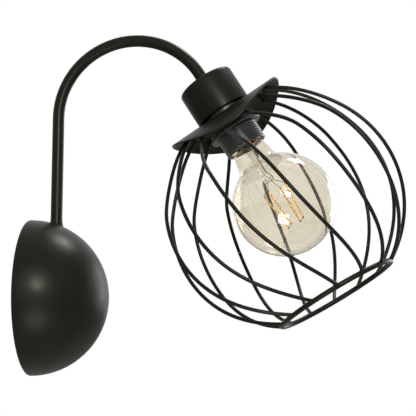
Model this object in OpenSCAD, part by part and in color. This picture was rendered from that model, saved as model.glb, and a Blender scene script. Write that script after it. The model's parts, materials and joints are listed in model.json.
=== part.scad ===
// Wall light with a twisted wire cage, a half-round canopy and a bent arm.
// Millimetres. X points out of the wall, Z points up, and Y runs along the wall.
// The origin is the centre of the canopy's rim, on the wall plane.
// The lamp has its own axis: it starts at the end of the arm's bend and points
// down and outwards. Heights along it are called s in the comments below.

/* [Canopy] */
// Outer radius of the half-round canopy
dome_r = 72; // [66:1:80]
// Sheet thickness of the canopy
dome_wall = 1.2; // [0.8:0.1:2]
// Distance of the two canopy set screws from the wall
set_screw_x = 7; // [6:0.5:8]

/* [Wall strap] */
// Width of the wall strap
strap_w = 20; // [16:1:24]
// Sheet thickness of the wall strap
strap_t = 2; // [1.5:0.5:3]
// Distance between the centres of the two fixing slots
slot_spacing = 70; // [66:1:74]
// Length of a fixing slot, end to end
slot_length = 14; // [10:1:16]
// Width of a fixing slot
slot_w = 5; // [4:0.5:6]
// Diameter of the supply cable's hole
cable_hole_d = 10; // [7:0.5:10]

/* [Arm] */
// Outer diameter of the arm tube
arm_d = 11; // [10:0.5:12]
// Wall thickness of the arm tube
arm_wall = 1.25; // [1:0.05:1.4]
// Distance of the tube's upright part from the wall
arm_x = 22.3; // [20:0.1:25]
// Height of the bend's centre over the canopy's centre
arm_rise = 169.4; // [140:0.2:190]
// Radius of the bend, to the tube's centre line
bend_r = 72.4; // [60:0.2:80]
// Angle between the lamp axis and the vertical
lamp_tilt = 32.4; // [25:0.2:40]
// Straight end of the tube between the bend and the cup
arm_end = 9.6; // [6:0.2:14]
// Diameter of the thread turned on both tube ends
thread_neck_d = 9.9; // [9.5:0.1:9.9]

/* [Lampholder] */
// Outer diameter of the cup
cup_d = 53.4; // [50:0.2:60]
// Height of the cup
cup_h = 34.9; // [33:0.1:38]
// Sheet thickness of the cup
cup_wall = 1; // [0.8:0.1:1.5]
// Rounding of the cup's upper edge
cup_edge_r = 3; // [2:0.5:5]
// Diameter over the skirt's outside thread
skirt_d = 40; // [39:0.2:41]
// Part of the skirt that stands out of the cup
skirt_h = 39.5; // [38:0.1:42]
// Pitch of the skirt's thread
skirt_pitch = 2.5; // [2:0.25:3]
// Outer diameter of the shade ring's body
ring_body_d = 48.4; // [46:0.2:50]
// Outer diameter of the shade ring's lower flange
ring_flange_d = 51; // [50:0.2:54]
// Height of the shade ring
ring_h = 15.4; // [12:0.2:16]

/* [Cage plate] */
// Radius of the plate, seen along the lamp axis
plate_r = 58; // [54:0.5:62]
// Sheet thickness of the plate
plate_t = 1.5; // [1:0.1:2]
// Radius to which the plate is bent
plate_bend_r = 85; // [80:1:110]
// Turn of the plate's ridge round the lamp axis
plate_turn = 5; // [0:0.5:10]

/* [Cage wires] */
// Number of cage wires
wire_count = 14; // [14:1:14]
// Diameter of a cage wire
wire_d = 3.4; // [3:0.1:4]
// Diameter of the lower ring's wire
hoop_wire_d = 4.6; // [4:0.1:5]
// Radius on which the wires start, under the plate
wire_start_r = 40; // [38:0.5:42]
// Largest radius of the cage, to the wires' centre lines
cage_r = 108.6; // [100:0.2:112]
// Height s of the cage's widest place
cage_mid = 151.6; // [148:0.2:156]
// Half height of the cage's curve above its widest place
cage_upper_h = 106.3; // [102:0.1:108]
// Half height of the cage's curve below its widest place
cage_lower_h = 105.1; // [100:0.1:108]
// Angle at which the curve ends on the lower ring, from the top
cage_end_angle = 148.5; // [145:0.1:149.5]
// Turn of each wire round the lamp axis, from its start to its end
cage_twist = 43.3; // [30:0.1:50]
// Extra turn at half length
twist_bow = 2.5; // [0:0.1:5]
// Extra turn at a quarter of the length, taken back at three quarters
twist_ease = -3.5; // [-6:0.1:0]
// Place of the first wire's lower end, round the lamp axis
first_wire = -72.7; // [-80:0.1:-60]
// Lean of the wires and the lower ring against the plate
cage_lean = 1.5; // [0:0.1:1.6]

/* [Bulb] */
// Diameter of the glass globe
globe_d = 95; // [90:0.5:96]
// Glass thickness
glass_t = 0.9; // [0.7:0.1:1.2]
// Height s of the globe's centre
globe_s = 147.1; // [146:0.1:149]
// Diameter of the glass neck where it leaves the mouth
neck_d = 32.4; // [31:0.2:34]
// Diameter of the bulb cap, over its thread
cap_d = 26.2; // [26:0.1:26.4]
// Length of a filament
filament_h = 35; // [30:0.5:38]

/* [Hidden] */
$fn = 64;
fine_fn = 180;

// Play between parts that move past each other, and between parts that only meet
play = 0.3;
fit_play = 0.05;

lamp_x = arm_x + bend_r * (1 + cos(lamp_tilt));
lamp_z = arm_rise + bend_r * sin(lamp_tilt);
bend_sweep = 180 - lamp_tilt;

arm_r = arm_d / 2;
arm_bore_r = arm_r - arm_wall;
thread_neck_r = thread_neck_d / 2;

// Wall strap: its bent tabs reach to just inside the canopy
dome_in_r = dome_r - dome_wall;
set_screw_r = 2;
set_screw_grip = 1.5;
socket_d = 2.3;
socket_h = 1.6;
tab_l = set_screw_x + 5;
tab_out_z = sqrt(pow(dome_in_r, 2) - pow(tab_l, 2) - pow(strap_w / 2, 2)) - 1.2;
cable_hole_z = -12;
earth_screw_z = -22;
earth_screw_y = 4;
earth_head_r = 3.6;
earth_head_h = 2.4;

// Stack of the arm's lower end, measured up from the canopy's centre
wedge_r = 10;
wedge_rim_h = 3.5;
wedge_low_z = sqrt(pow(dome_in_r, 2) - pow(arm_x + wedge_r, 2)) - wedge_rim_h;
collar_flare = 2.4;
collar_lip = 0.5;
collar_low_z = sqrt(pow(dome_r, 2) - pow(arm_x + arm_r + collar_flare, 2)) - 1;
collar_top_z = sqrt(pow(dome_r, 2) - pow(arm_x - arm_r, 2)) + 1.5;
bend_lap = 1;
bend_skin = 0.04;
tag_t = 0.8;
tag_r = 9.5;
tag_w = 5;
tag_reach = 16;
nut_h = 4;
nut_flats = 14;
nut_corner_d = nut_flats / cos(30);
arm_low_z = wedge_low_z - tag_t - nut_h - 3;

// Stack along the lamp axis
cup_top_s = arm_end;
cup_rim_s = cup_top_s + cup_h;
cup_r = cup_d / 2;
cap_top_s = cup_top_s + cup_wall + nut_h + 1;
arm_top_s = cap_top_s + 5;
skirt_r = skirt_d / 2;
skirt_wall = 2.2;
skirt_top_s = cup_rim_s - 6;
mouth_s = cup_rim_s + skirt_h;
mouth_r = 15.8;
mouth_lip_h = 1.8;
thread_depth = 0.8;
thread_top_s = cup_rim_s + 5;
thread_count = floor((mouth_s - 1 - thread_top_s) / skirt_pitch);
ridge_edges = [0.10, 0.38, 0.62, 0.90];
holder_wall = 2;
cap_taper_h = 5;
insert_top_s = skirt_top_s + 1;
insert_h = 13;
shell_top_s = insert_top_s + insert_h + 3;
shell_bottom_s = mouth_s - mouth_lip_h - 0.2;
shell_in_r = 13.6;
shell_t = 0.5;
shell_ridge_r = 0.8;
post_w = 6;
post_pin_r = 1.5;
tongue_r = 2.5;
tongue_t = 0.8;
tongue_rod_r = 0.8;
shell_ridges = 5;
flare_s = shell_bottom_s - 4;
flare_r = mouth_r + 0.2;
strip_w = 6;
strip_t = 0.6;

// Bulb, from the contact at its top to the glass
contact_s = insert_top_s + insert_h + 4.1;
contact_h = 1.1;
contact_r = 5;
insulator_h = 2.4;
cap_shell_s = contact_s + contact_h + insulator_h;
cap_r = cap_d / 2;
cap_end_s = mouth_s - 3;
cap_pitch = 3.6;
cap_ridge_r = 0.9;
cap_sheet = 0.5;
cap_taper = 1.4;
cap_shoulder_s = cap_shell_s + 2.5;
glass_end_r = cap_r - 1.7;
globe_r = globe_d / 2;
neck_r = neck_d / 2;
glass_top_s = cap_end_s - 6;
shoulder_from_s = cap_end_s + 0.5;
shoulder_r = mouth_r - 0.5;
shoulder_s = mouth_s + 0.3;
neck_s = mouth_s + 3.5;
neck_end_r = neck_r + 2.6;
neck_fillet_r = 7;
blend_sink = 1.2;
blend_w = neck_fillet_r - 0.5;
neck_end_s = globe_s
    - sqrt(pow(globe_r + neck_fillet_r - blend_sink, 2) - pow(neck_end_r + neck_fillet_r, 2));
stem_r = 3.2;
stem_flare_s = cap_end_s - 5;
stem_rim_h = 0.8;
stem_top_s = mouth_s + 1;
press_s = stem_top_s + 28;
press_end_s = press_s + 9;
press_w = 11;
press_t = 4.4;
filament_r = 0.85;
filament_top_s = press_end_s + 9.4;
filament_turn = -26.5;
filament_top_r = 12.4;
filament_low_r = 9.3;
support_r = 0.3;
support_hold = 0.7;
pin_h = 1.6;
ferrule_r = 0.6;
ferrule_h = 1.3;

// Cage plate and shade ring
plate_s = cup_rim_s + play;
plate_hole_r = skirt_r + 0.5;
ring_bore_r = skirt_r + play;
ring_flange_r = ring_flange_d / 2;
ring_body_r = ring_body_d / 2;
ring_flange_h = 2.6;
ring_top_s = plate_under(ring_body_r) + play;
ring_flange_s = ring_top_s + ring_h - ring_flange_h;

// Cage wires
wire_r = wire_d / 2;
hoop_wire_r = hoop_wire_d / 2;
hoop_r = cage_r * sin(cage_end_angle);
hoop_s = cage_mid - cage_lower_h * cos(cage_end_angle);
wire_start_angle = asin(wire_start_r / cage_r);
weld_gap = 0.15;
edge_gap = 1.2;
edge_gap_steep = 2;
edge_share = 0.28;
wire_end_angle = cage_end_angle - asin((hoop_wire_r + weld_gap + 0.3 * wire_r) / cage_lower_h);
join_angle = 65;
wire_steps = 26;
wire_sides = 8;
lean_from_s = plate_s + 15;
lean_span = 50;

// Leads
lead_r = 1.2;
lead_offset = 1.9;
lead_grip = 6;
pole_pitch = 8;
clamp_r = 2.6;
clamp_screw_r = 1.2;
clamp_head_r = 1.8;
clamp_screw_at = [0.27, 0.73];
head_slot_w = 0.6;
block_low_z = 4;
block_l = 16;
block_h = 12;
block_x = strap_t + play;
clamp_x = block_x + block_h / 2;
holder_terminal_y = 9;
post_h = 6.5;
holder_terminal_s = insert_top_s - post_h;

steel_black = [0.11, 0.11, 0.11];
plastic_black = [0.07, 0.07, 0.07];
steel_plain = [0.70, 0.71, 0.72];
brass_plain = [0.80, 0.62, 0.32];
glass_tint = [0.85, 0.83, 0.78, 0.35];

WIRE_NODES = [for (k = [1 : wire_count]) str("cage_wire_", k)];

// ---- Shared shapes ----

// Places children in the lamp's own frame: Z along the lamp axis, measured as s
module lamp() {
    translate([lamp_x, 0, lamp_z]) rotate([0, 180 - lamp_tilt, 0]) children();
}

// Round tube or ring from height low to height high
module sleeve(outer_r, inner_r, low, high) {
    difference() {
        translate([0, 0, low]) cylinder(r = outer_r, h = high - low);
        translate([0, 0, low - 1]) cylinder(r = inner_r, h = high - low + 2);
    }
}

// Hexagon nut with a plain bore
module hex_nut(bore_r, low, height) {
    difference() {
        translate([0, 0, low]) cylinder(d = nut_corner_d, h = height, $fn = 6);
        translate([0, 0, low - 1]) cylinder(r = bore_r, h = height + 2);
    }
}

// Round rod from one point to another
module rod(from, to, r) {
    run = to - from;
    length = norm(run);
    turn = atan2(run[1], run[0]);
    slope = acos(run[2] / length);
    translate(from) rotate([0, slope, turn]) cylinder(r = r, h = length);
}

// Pan-head screw whose head rests at z = 0 and whose shank runs down
module pan_screw(shank_r, length, head_r, head_h) {
    difference() {
        union() {
            cylinder(r = head_r, h = head_h);
            translate([0, 0, -length]) cylinder(r = shank_r, h = length + 0.01);
        }
        translate([-head_r, -head_r / 8, head_h * 0.55]) cube([2 * head_r, head_r / 4, head_h]);
    }
}

// Point of a cubic curve through four control points
function cubic(a, b, c, d, u) =
    pow(1 - u, 3) * a + 3 * pow(1 - u, 2) * u * b + 3 * (1 - u) * pow(u, 2) * c + pow(u, 3) * d;

function unit(v) = v / norm(v);
function clamp01(u) = min(1, max(0, u));
function smooth(u) = clamp01(u) * clamp01(u) * (3 - 2 * clamp01(u));

// ---- Canopy and wall fixing ----

module dome_canopy() {
    color(steel_black) difference() {
        intersection() {
            sphere(r = dome_r, $fn = fine_fn);
            translate([0, -dome_r - 1, -dome_r - 1]) cube([dome_r + 1, 2 * dome_r + 2, 2 * dome_r + 2]);
        }
        sphere(r = dome_in_r, $fn = fine_fn);
        translate([arm_x, 0, 0]) cylinder(r = thread_neck_r + fit_play, h = dome_r + 1);
        translate([set_screw_x, 0, -dome_r - 1]) cylinder(r = set_screw_r + 0.2, h = 2 * dome_r + 2);
    }
}

module wall_strap() {
    color(steel_plain) difference() {
        union() {
            translate([0, -strap_w / 2, -tab_out_z]) cube([strap_t, strap_w, 2 * tab_out_z]);
            for (side = [-1, 1])
                translate([0, -strap_w / 2, side > 0 ? tab_out_z - strap_t : -tab_out_z])
                    cube([tab_l, strap_w, strap_t]);
        }
        for (side = [-1, 1]) slot(side * slot_spacing / 2);
        translate([-1, 0, cable_hole_z]) rotate([0, 90, 0]) cylinder(d = cable_hole_d, h = strap_t + 2);
        translate([-1, earth_screw_y, earth_screw_z])
            rotate([0, 90, 0]) cylinder(r = set_screw_r, h = strap_t + 2);
        translate([set_screw_x, 0, -tab_out_z - 1]) cylinder(r = set_screw_r, h = 2 * tab_out_z + 2);
    }
}

module slot(height) {
    reach = (slot_length - slot_w) / 2;
    for (side = [-1, 1])
        translate([-1, 0, height + side * reach]) rotate([0, 90, 0]) cylinder(d = slot_w, h = strap_t + 2);
    translate([-1, -slot_w / 2, height - reach]) cube([strap_t + 2, slot_w, 2 * reach]);
}

module canopy_set_screws() {
    top_z = sqrt(pow(dome_r, 2) - pow(set_screw_x, 2)) - 0.4;
    low_z = tab_out_z - strap_t - set_screw_grip;
    color(steel_black) for (side = [-1, 1])
        rotate([side > 0 ? 0 : 180, 0, 0]) translate([set_screw_x, 0, 0]) difference() {
            translate([0, 0, low_z]) cylinder(r = set_screw_r, h = top_z - low_z);
            translate([0, 0, top_z - socket_h]) cylinder(d = socket_d, h = socket_h + 1, $fn = 6);
        }
}

module earth_screw() {
    color(brass_plain) translate([strap_t, earth_screw_y, earth_screw_z])
        rotate([0, 90, 0]) pan_screw(set_screw_r, strap_t - play / 2, earth_head_r, earth_head_h);
}

module terminal_block() {
    width = 3 * pole_pitch;
    color([0.92, 0.92, 0.88]) difference() {
        translate([block_x, -width / 2, block_low_z]) cube([block_h, width, block_l]);
        for (pole = [-1 : 1]) {
            translate([clamp_x, pole * pole_pitch, block_low_z - 1])
                cylinder(r = clamp_r + fit_play, h = block_l + 2);
            for (end = clamp_screw_at)
                translate([clamp_x, pole * pole_pitch, block_low_z + end * block_l])
                    rotate([0, 90, 0]) cylinder(r = clamp_head_r + 0.2, h = block_h);
        }
    }
}

module terminal_clamps() {
    color(brass_plain) for (pole = [-1 : 1])
        translate([clamp_x, pole * pole_pitch, 0]) difference() {
            sleeve(clamp_r, lead_r + play, block_low_z + 1, block_low_z + block_l - 1);
            for (end = clamp_screw_at)
                translate([0, 0, block_low_z + end * block_l])
                    rotate([0, 90, 0]) cylinder(r = clamp_screw_r + fit_play, h = block_h / 2);
        }
}

module terminal_screws() {
    head_h = 1;
    sunk = 0.2;
    length = block_h / 2 - head_h - sunk - lead_r - fit_play;
    color(brass_plain) for (pole = [-1 : 1], end = clamp_screw_at)
        translate([block_x + block_h - head_h - sunk, pole * pole_pitch, block_low_z + end * block_l])
            rotate([0, 90, 0]) difference() {
                union() {
                    cylinder(r = clamp_head_r, h = head_h);
                    translate([0, 0, -length]) cylinder(r = clamp_screw_r, h = length);
                }
                translate([-clamp_head_r - 1, -head_slot_w / 2, head_h / 2])
                    cube([2 * clamp_head_r + 2, head_slot_w, head_h]);
            }
}

// ---- Arm ----

// Pipe from height low to height high
module pipe(outer_r, inner_r, low, high) {
    translate([0, 0, low]) linear_extrude(height = high - low) difference() {
        circle(r = outer_r);
        circle(r = inner_r);
    }
}

// The straight runs end a little inside the bend, a hair thinner, so that all join as one tube
module arm_tube() {
    run_r = arm_r - bend_skin;
    color(steel_black) {
        translate([arm_x + bend_r, 0, arm_rise]) rotate([90, 0, 0]) rotate([0, 0, lamp_tilt])
            rotate_extrude(angle = bend_sweep) translate([bend_r, 0]) difference() {
                circle(r = arm_r);
                circle(r = arm_bore_r - bend_skin);
            }
        difference() {
            union() {
                difference() {
                    translate([arm_x, 0, collar_low_z]) cylinder(r = run_r, h = arm_rise + bend_lap - collar_low_z);
                    sphere(r = dome_r, $fn = fine_fn);
                }
                translate([arm_x, 0, arm_low_z]) cylinder(r = thread_neck_r, h = dome_r + 5 - arm_low_z);
            }
            translate([arm_x, 0, arm_low_z - 1]) cylinder(r = arm_bore_r, h = arm_rise + bend_lap + 2 - arm_low_z);
        }
        lamp() {
            pipe(run_r, arm_bore_r, -bend_lap, cup_top_s);
            pipe(thread_neck_r, arm_bore_r, cup_top_s, arm_top_s);
        }
    }
}

// Small flared foot round the tube, saddled on the canopy
module arm_collar() {
    color(steel_black) difference() {
        translate([arm_x, 0, collar_low_z])
            cylinder(r1 = arm_r + collar_flare, r2 = arm_r + collar_lip, h = collar_top_z - collar_low_z);
        translate([arm_x, 0, 0]) cylinder(r = arm_r + fit_play, h = dome_r + 10);
        sphere(r = dome_r, $fn = fine_fn);
    }
}

// Washer cut to the inside of the canopy, flat underneath
module arm_wedge_washer() {
    color(steel_plain) intersection() {
        translate([arm_x, 0, 0]) sleeve(wedge_r, thread_neck_r + fit_play, wedge_low_z, dome_in_r);
        sphere(r = dome_in_r, $fn = fine_fn);
    }
}

module arm_earth_tag() {
    color(brass_plain) difference() {
        union() {
            translate([arm_x, 0, wedge_low_z - tag_t]) cylinder(r = tag_r, h = tag_t);
            translate([arm_x - tag_reach, -tag_w / 2, wedge_low_z - tag_t]) cube([tag_reach, tag_w, tag_t]);
        }
        translate([arm_x, 0, wedge_low_z - tag_t - 1]) cylinder(r = thread_neck_r + fit_play, h = tag_t + 2);
    }
}

module arm_lock_nut() {
    color(steel_plain) translate([arm_x, 0, 0])
        hex_nut(thread_neck_r + fit_play, wedge_low_z - tag_t - nut_h, nut_h);
}

module cup_lock_nut() {
    color(steel_plain) lamp() hex_nut(thread_neck_r + fit_play, cup_top_s + cup_wall, nut_h);
}

// ---- Leads ----

// Point of the lamp's own frame in the frame of the whole light
function lamp_point(p) = [
    lamp_x - p[0] * cos(lamp_tilt) + p[2] * sin(lamp_tilt),
    p[1],
    lamp_z - p[0] * sin(lamp_tilt) - p[2] * cos(lamp_tilt)
];

// Lead from its clamp in the terminal block, through the arm, to a holder terminal
module mains_lead(side) {
    from = [clamp_x, side * pole_pitch, block_low_z + block_l + 1];
    into = [arm_x, side * lead_offset, arm_low_z - 2];
    lift = [0, 0, 12];
    leave = [0, side * lead_offset, arm_top_s + 1];
    reach = [0, side * holder_terminal_y, holder_terminal_s - 0.5];
    drop = [0, 0, 5];
    route = concat(
        [from - [0, 0, lead_grip]],
        [for (u = [0 : 0.125 : 1]) cubic(from, from + lift, into - lift, into, u)],
        [for (turned = [180 : -bend_sweep / 16 : lamp_tilt - 0.01])
            [arm_x + bend_r + bend_r * cos(turned), side * lead_offset, arm_rise + bend_r * sin(turned)]],
        [for (u = [0 : 0.25 : 1]) lamp_point(cubic(leave, leave + drop, reach - drop, reach, u))],
        [lamp_point(reach + [0, 0, 2.5])]
    );
    swept_wire(route, lead_r, [for (p = route) [0, 1, 0]]);
}

module live_lead() { color([0.35, 0.20, 0.12]) mains_lead(-1); }
module neutral_lead() { color([0.13, 0.25, 0.55]) mains_lead(1); }

// Short lead from the middle clamp to the tag under the arm's nut
module earth_lead() {
    from = [clamp_x, 0, block_low_z + block_l + 1];
    tag_end = [arm_x - tag_reach + 2.5, 0, wedge_low_z - tag_t - play];
    bow = [2, 0, 13];
    route = concat(
        [from - [0, 0, lead_grip]],
        [for (u = [0 : 0.125 : 1]) cubic(from, from + bow, tag_end + [2, 0, -13], tag_end, u)]
    );
    color([0.35, 0.60, 0.20]) swept_wire(route, lead_r, [for (p = route) [0, 1, 0]]);
}

// ---- Lampholder ----

module holder_cup() {
    steps = 6;
    corner = [cup_r - cup_edge_r, cup_top_s + cup_edge_r];
    color(steel_black) lamp() difference() {
        rotate_extrude() polygon(concat(
            [[0, cup_rim_s], [0, cup_top_s]],
            [for (i = [0 : steps]) corner + cup_edge_r * [sin(i * 90 / steps), -cos(i * 90 / steps)]],
            [[cup_r, cup_rim_s]]
        ));
        translate([0, 0, cup_top_s + cup_wall + cup_edge_r])
            cylinder(r = cup_r - cup_wall, h = cup_h);
        translate([0, 0, cup_top_s + cup_wall])
            cylinder(r1 = cup_r - cup_wall - cup_edge_r, r2 = cup_r - cup_wall, h = cup_edge_r + 0.01);
        translate([0, 0, cup_top_s - 1]) cylinder(r = thread_neck_r + fit_play, h = cup_wall + 2);
    }
}

module holder_cap() {
    outer_r = skirt_r - skirt_wall - fit_play;
    color(plastic_black) lamp() difference() {
        union() {
            translate([0, 0, cap_top_s]) cylinder(r1 = outer_r - cap_taper_h, r2 = outer_r, h = cap_taper_h);
            translate([0, 0, cap_top_s + cap_taper_h])
                cylinder(r = outer_r, h = insert_top_s - cap_top_s - cap_taper_h);
        }
        translate([0, 0, cap_top_s + cap_taper_h + 1]) cylinder(r = outer_r - holder_wall, h = insert_top_s);
        translate([0, 0, cap_top_s - 1]) cylinder(r = thread_neck_r + fit_play, h = cap_taper_h + 3);
    }
}

// Skirt with the outside thread, drawn as ridges, and a lip at the mouth
module holder_skirt() {
    root_r = skirt_r - thread_depth;
    ridges = [for (i = [0 : thread_count - 1], edge = [0 : 3])
        [edge == 0 || edge == 3 ? root_r : skirt_r,
         thread_top_s + (i + ridge_edges[edge]) * skirt_pitch]];
    color(plastic_black) lamp() difference() {
        rotate_extrude() polygon(concat(
            [[0, skirt_top_s], [skirt_r, skirt_top_s], [skirt_r, thread_top_s - 1], [root_r, thread_top_s - 1]],
            ridges,
            [[root_r, mouth_s], [0, mouth_s]]
        ));
        translate([0, 0, skirt_top_s - 1])
            cylinder(r = skirt_r - skirt_wall, h = mouth_s - mouth_lip_h - skirt_top_s + 1);
        translate([0, 0, mouth_s - mouth_lip_h - 1]) cylinder(r = mouth_r, h = mouth_lip_h + 2);
    }
}

module holder_insert() {
    outer_r = skirt_r - skirt_wall - fit_play;
    color([0.86, 0.84, 0.78]) lamp() difference() {
        translate([0, 0, insert_top_s]) cylinder(r = outer_r, h = insert_h);
        for (side = [-1, 1])
            translate([0, side * holder_terminal_y, insert_top_s - 1])
                cylinder(r = post_pin_r + fit_play, h = insert_h + 2);
        translate([0, 0, insert_top_s + insert_h - 2]) cylinder(r = holder_terminal_y, h = 3);
    }
}

// Two brass posts on the insert, each with a cross hole and a screw
module holder_terminals() {
    color(brass_plain) lamp() for (side = [-1, 1])
        translate([0, side * holder_terminal_y, 0]) {
            difference() {
                translate([-post_w / 2, -post_w / 2, holder_terminal_s])
                    cube([post_w, post_w, insert_top_s - holder_terminal_s]);
                translate([0, 0, holder_terminal_s - 1]) cylinder(r = lead_r + fit_play, h = 4);
            }
            translate([post_w / 2, 0, holder_terminal_s + 2]) rotate([0, 90, 0])
                pan_screw(clamp_screw_r, 1, clamp_head_r, 1);
            translate([0, 0, insert_top_s - 0.5]) cylinder(r = post_pin_r, h = insert_h - 1);
        }
}

module screw_shell() {
    color(brass_plain) lamp() {
        rotate_extrude() polygon([
            [shell_in_r, shell_top_s], [shell_in_r + shell_t, shell_top_s],
            [shell_in_r + shell_t, flare_s], [flare_r + shell_t, shell_bottom_s],
            [flare_r, shell_bottom_s], [shell_in_r, flare_s]
        ]);
        for (i = [1 : shell_ridges])
            translate([0, 0, shell_top_s + i * cap_pitch]) rotate_extrude()
                translate([shell_in_r + shell_t, 0]) intersection() {
                    circle(r = shell_ridge_r);
                    translate([-0.1, -1]) square([2, 2]);
                }
    }
}

// Sprung tongue over the bulb's contact
module centre_contact() {
    tip_s = contact_s - play;
    color(brass_plain) lamp() {
        translate([-strip_w / 2, 0, insert_top_s + insert_h - 1.5])
            cube([strip_w, holder_terminal_y - 2, strip_t]);
        rod([0, 1, insert_top_s + insert_h - 1.2], [0, 0, tip_s - tongue_t], tongue_rod_r);
        translate([0, 0, tip_s - tongue_t]) cylinder(r = tongue_r, h = tongue_t);
    }
}

// Strip from the other post, down the outside of the screw shell
module side_contact() {
    top = insert_top_s + insert_h;
    strip_y = -shell_in_r - shell_t - fit_play - strip_t;
    color(brass_plain) lamp() translate([-strip_w / 2, strip_y, top]) {
        cube([strip_w, strip_w, strip_t]);
        cube([strip_w, strip_t, shell_top_s - top + 2]);
    }
}

// ---- Shade ring and cage ----

// Body of the shade ring, and the flange at its lower end
module shade_ring() {
    color(plastic_black) lamp() sleeve(ring_body_r, ring_bore_r, ring_top_s, ring_flange_s);
}

module shade_ring_flange() {
    color(plastic_black) lamp()
        sleeve(ring_flange_r, ring_bore_r, ring_flange_s, ring_flange_s + ring_flange_h);
}

// Height s of the plate's underside at distance y from its ridge
function plate_under(y) = plate_s + plate_bend_r - sqrt(pow(plate_bend_r - plate_t, 2) - y * y);

// Height s of a point that lies off by a distance below the plate's underside
function below_plate(y, off) = plate_under(y) + off / cos(asin(y / (plate_bend_r - plate_t)));

module cage_plate() {
    color(steel_black) lamp() difference() {
        intersection() {
            translate([0, 0, plate_s - 1]) cylinder(r = plate_r, h = plate_bend_r);
            rotate([0, 0, plate_turn]) translate([0, 0, plate_s + plate_bend_r]) rotate([0, 90, 0])
                translate([0, 0, -plate_r - 1]) cylinder(r = plate_bend_r, h = 2 * plate_r + 2);
        }
        rotate([0, 0, plate_turn]) translate([0, 0, plate_s + plate_bend_r]) rotate([0, 90, 0])
            translate([0, 0, -plate_r - 2]) cylinder(r = plate_bend_r - plate_t, h = 2 * plate_r + 4);
        translate([0, 0, plate_s - 2]) cylinder(r = plate_hole_r, h = plate_bend_r);
    }
}

// Leans a point of the cage: nothing at the plate, the full lean further down
function leaned(p) =
    let(lean = cage_lean * smooth((p[2] - lean_from_s) / lean_span), drop = p[2] - lean_from_s)
    [p[0] * cos(lean) + drop * sin(lean), p[1],
     lean_from_s + drop * cos(lean) - p[0] * sin(lean)];

// Radius and height of a wire's centre line at angle a of the cage's curve.
// Up to the join angle a wire leaves the plate and swings into the curve.
function curve_at(a) = [cage_r * sin(a), cage_mid - (a < 90 ? cage_upper_h : cage_lower_h) * cos(a)];
function curve_run(a) = unit([cage_r * cos(a), cage_upper_h * sin(a)]);
// The two other values say how far off the plate's ridge it starts and passes the rim.
function wire_profile(a, start_off, rim_off) =
    a >= join_angle ? curve_at(a) :
    let(
        start = [wire_start_r, below_plate(wire_start_r * start_off, wire_r + weld_gap)],
        edge = [plate_r + 2, below_plate(plate_r * rim_off, wire_r + edge_gap + edge_gap_steep * rim_off)],
        join = curve_at(join_angle),
        u = (a - wire_start_angle) / (join_angle - wire_start_angle)
    )
    cubic(start, edge, join - 20 * curve_run(join_angle), join, u);

// Share of a wire's whole turn done at angle a, and its turn round the lamp axis there
function wire_share(a) = (a - wire_start_angle) / (cage_end_angle - wire_start_angle);
function wire_turn(last, t) =
    last - cage_twist * (1 - t) - twist_bow * sin(180 * t) - twist_ease * sin(360 * t);
function off_ridge(turned) = abs(cos(turned + plate_turn));

// Centre line of wire k, from the plate to the lower ring
function wire_path(k) =
    let(
        last = 360 * (k - 1) / wire_count + first_wire,
        start_off = off_ridge(wire_turn(last, 0)),
        rim_angle = wire_start_angle + edge_share * (join_angle - wire_start_angle),
        rim_off = off_ridge(wire_turn(last, wire_share(rim_angle)))
    )
    [for (i = [0 : wire_steps])
        let(
            a = wire_start_angle + (wire_end_angle - wire_start_angle) * i / wire_steps,
            turned = wire_turn(last, wire_share(a)),
            p = wire_profile(a, start_off, rim_off)
        )
        leaned([-p[0] * sin(turned), -p[0] * cos(turned), p[1]])];

// Round wire swept along a path. Its section is turned so that one side faces along
// the reference direction that is given for each point.
module swept_wire(path, r, references) {
    last = len(path) - 1;
    rings = [for (i = [0 : last])
        let(
            run = unit(path[min(i + 1, last)] - path[max(i - 1, 0)]),
            side = unit(cross(run, references[i])),
            out = cross(side, run)
        )
        for (j = [0 : wire_sides - 1])
            path[i] + r * (cos(j * 360 / wire_sides) * out + sin(j * 360 / wire_sides) * side)];
    walls = [for (i = [0 : last - 1], j = [0 : wire_sides - 1])
        let(
            a = i * wire_sides + j,
            b = i * wire_sides + (j + 1) % wire_sides
        )
        each [[a, b, a + wire_sides], [b, b + wire_sides, a + wire_sides]]];
    ends = [
        [for (j = [wire_sides - 1 : -1 : 0]) j],
        [for (j = [0 : wire_sides - 1]) last * wire_sides + j]
    ];
    polyhedron(points = rings, faces = concat(walls, ends));
}

module cage_wire(k) {
    path = wire_path(k);
    color(steel_black) lamp() swept_wire(path, wire_r, [for (p = path) p - [0, 0, cage_mid]]);
}

module cage_hoop() {
    lean_drop = hoop_s - lean_from_s;
    color(steel_black) lamp()
        translate([lean_drop * sin(cage_lean), 0, lean_from_s + lean_drop * cos(cage_lean)])
            rotate([0, cage_lean, 0]) rotate_extrude() translate([hoop_r, 0]) circle(r = hoop_wire_r);
}

// ---- Bulb ----

module bulb_cap() {
    root_r = cap_r - cap_ridge_r;
    ridges = floor((cap_end_s - cap_shoulder_s) / cap_pitch);
    color(steel_plain) lamp() {
        rotate_extrude() polygon([
            [root_r - cap_taper - cap_sheet, cap_shell_s], [root_r - cap_taper, cap_shell_s],
            [root_r, cap_shoulder_s], [root_r, cap_end_s],
            [root_r - cap_sheet, cap_end_s], [root_r - cap_sheet, cap_shoulder_s]
        ]);
        for (i = [0 : ridges - 1])
            translate([0, 0, cap_shoulder_s + (i + 0.5) * cap_pitch]) rotate_extrude()
                translate([root_r, 0]) intersection() {
                    circle(r = cap_ridge_r);
                    translate([-0.1, -1]) square([2, 2]);
                }
    }
}

module bulb_cap_insulator() {
    color([0.10, 0.09, 0.08]) lamp()
        translate([0, 0, contact_s + contact_h])
            cylinder(r1 = contact_r + 1.2, r2 = cap_r - cap_ridge_r - cap_taper - 0.3, h = insulator_h);
}

module bulb_cap_contact() {
    color(steel_plain) lamp() translate([0, 0, contact_s])
        cylinder(r1 = contact_r - cap_taper, r2 = contact_r, h = contact_h);
}

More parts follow.
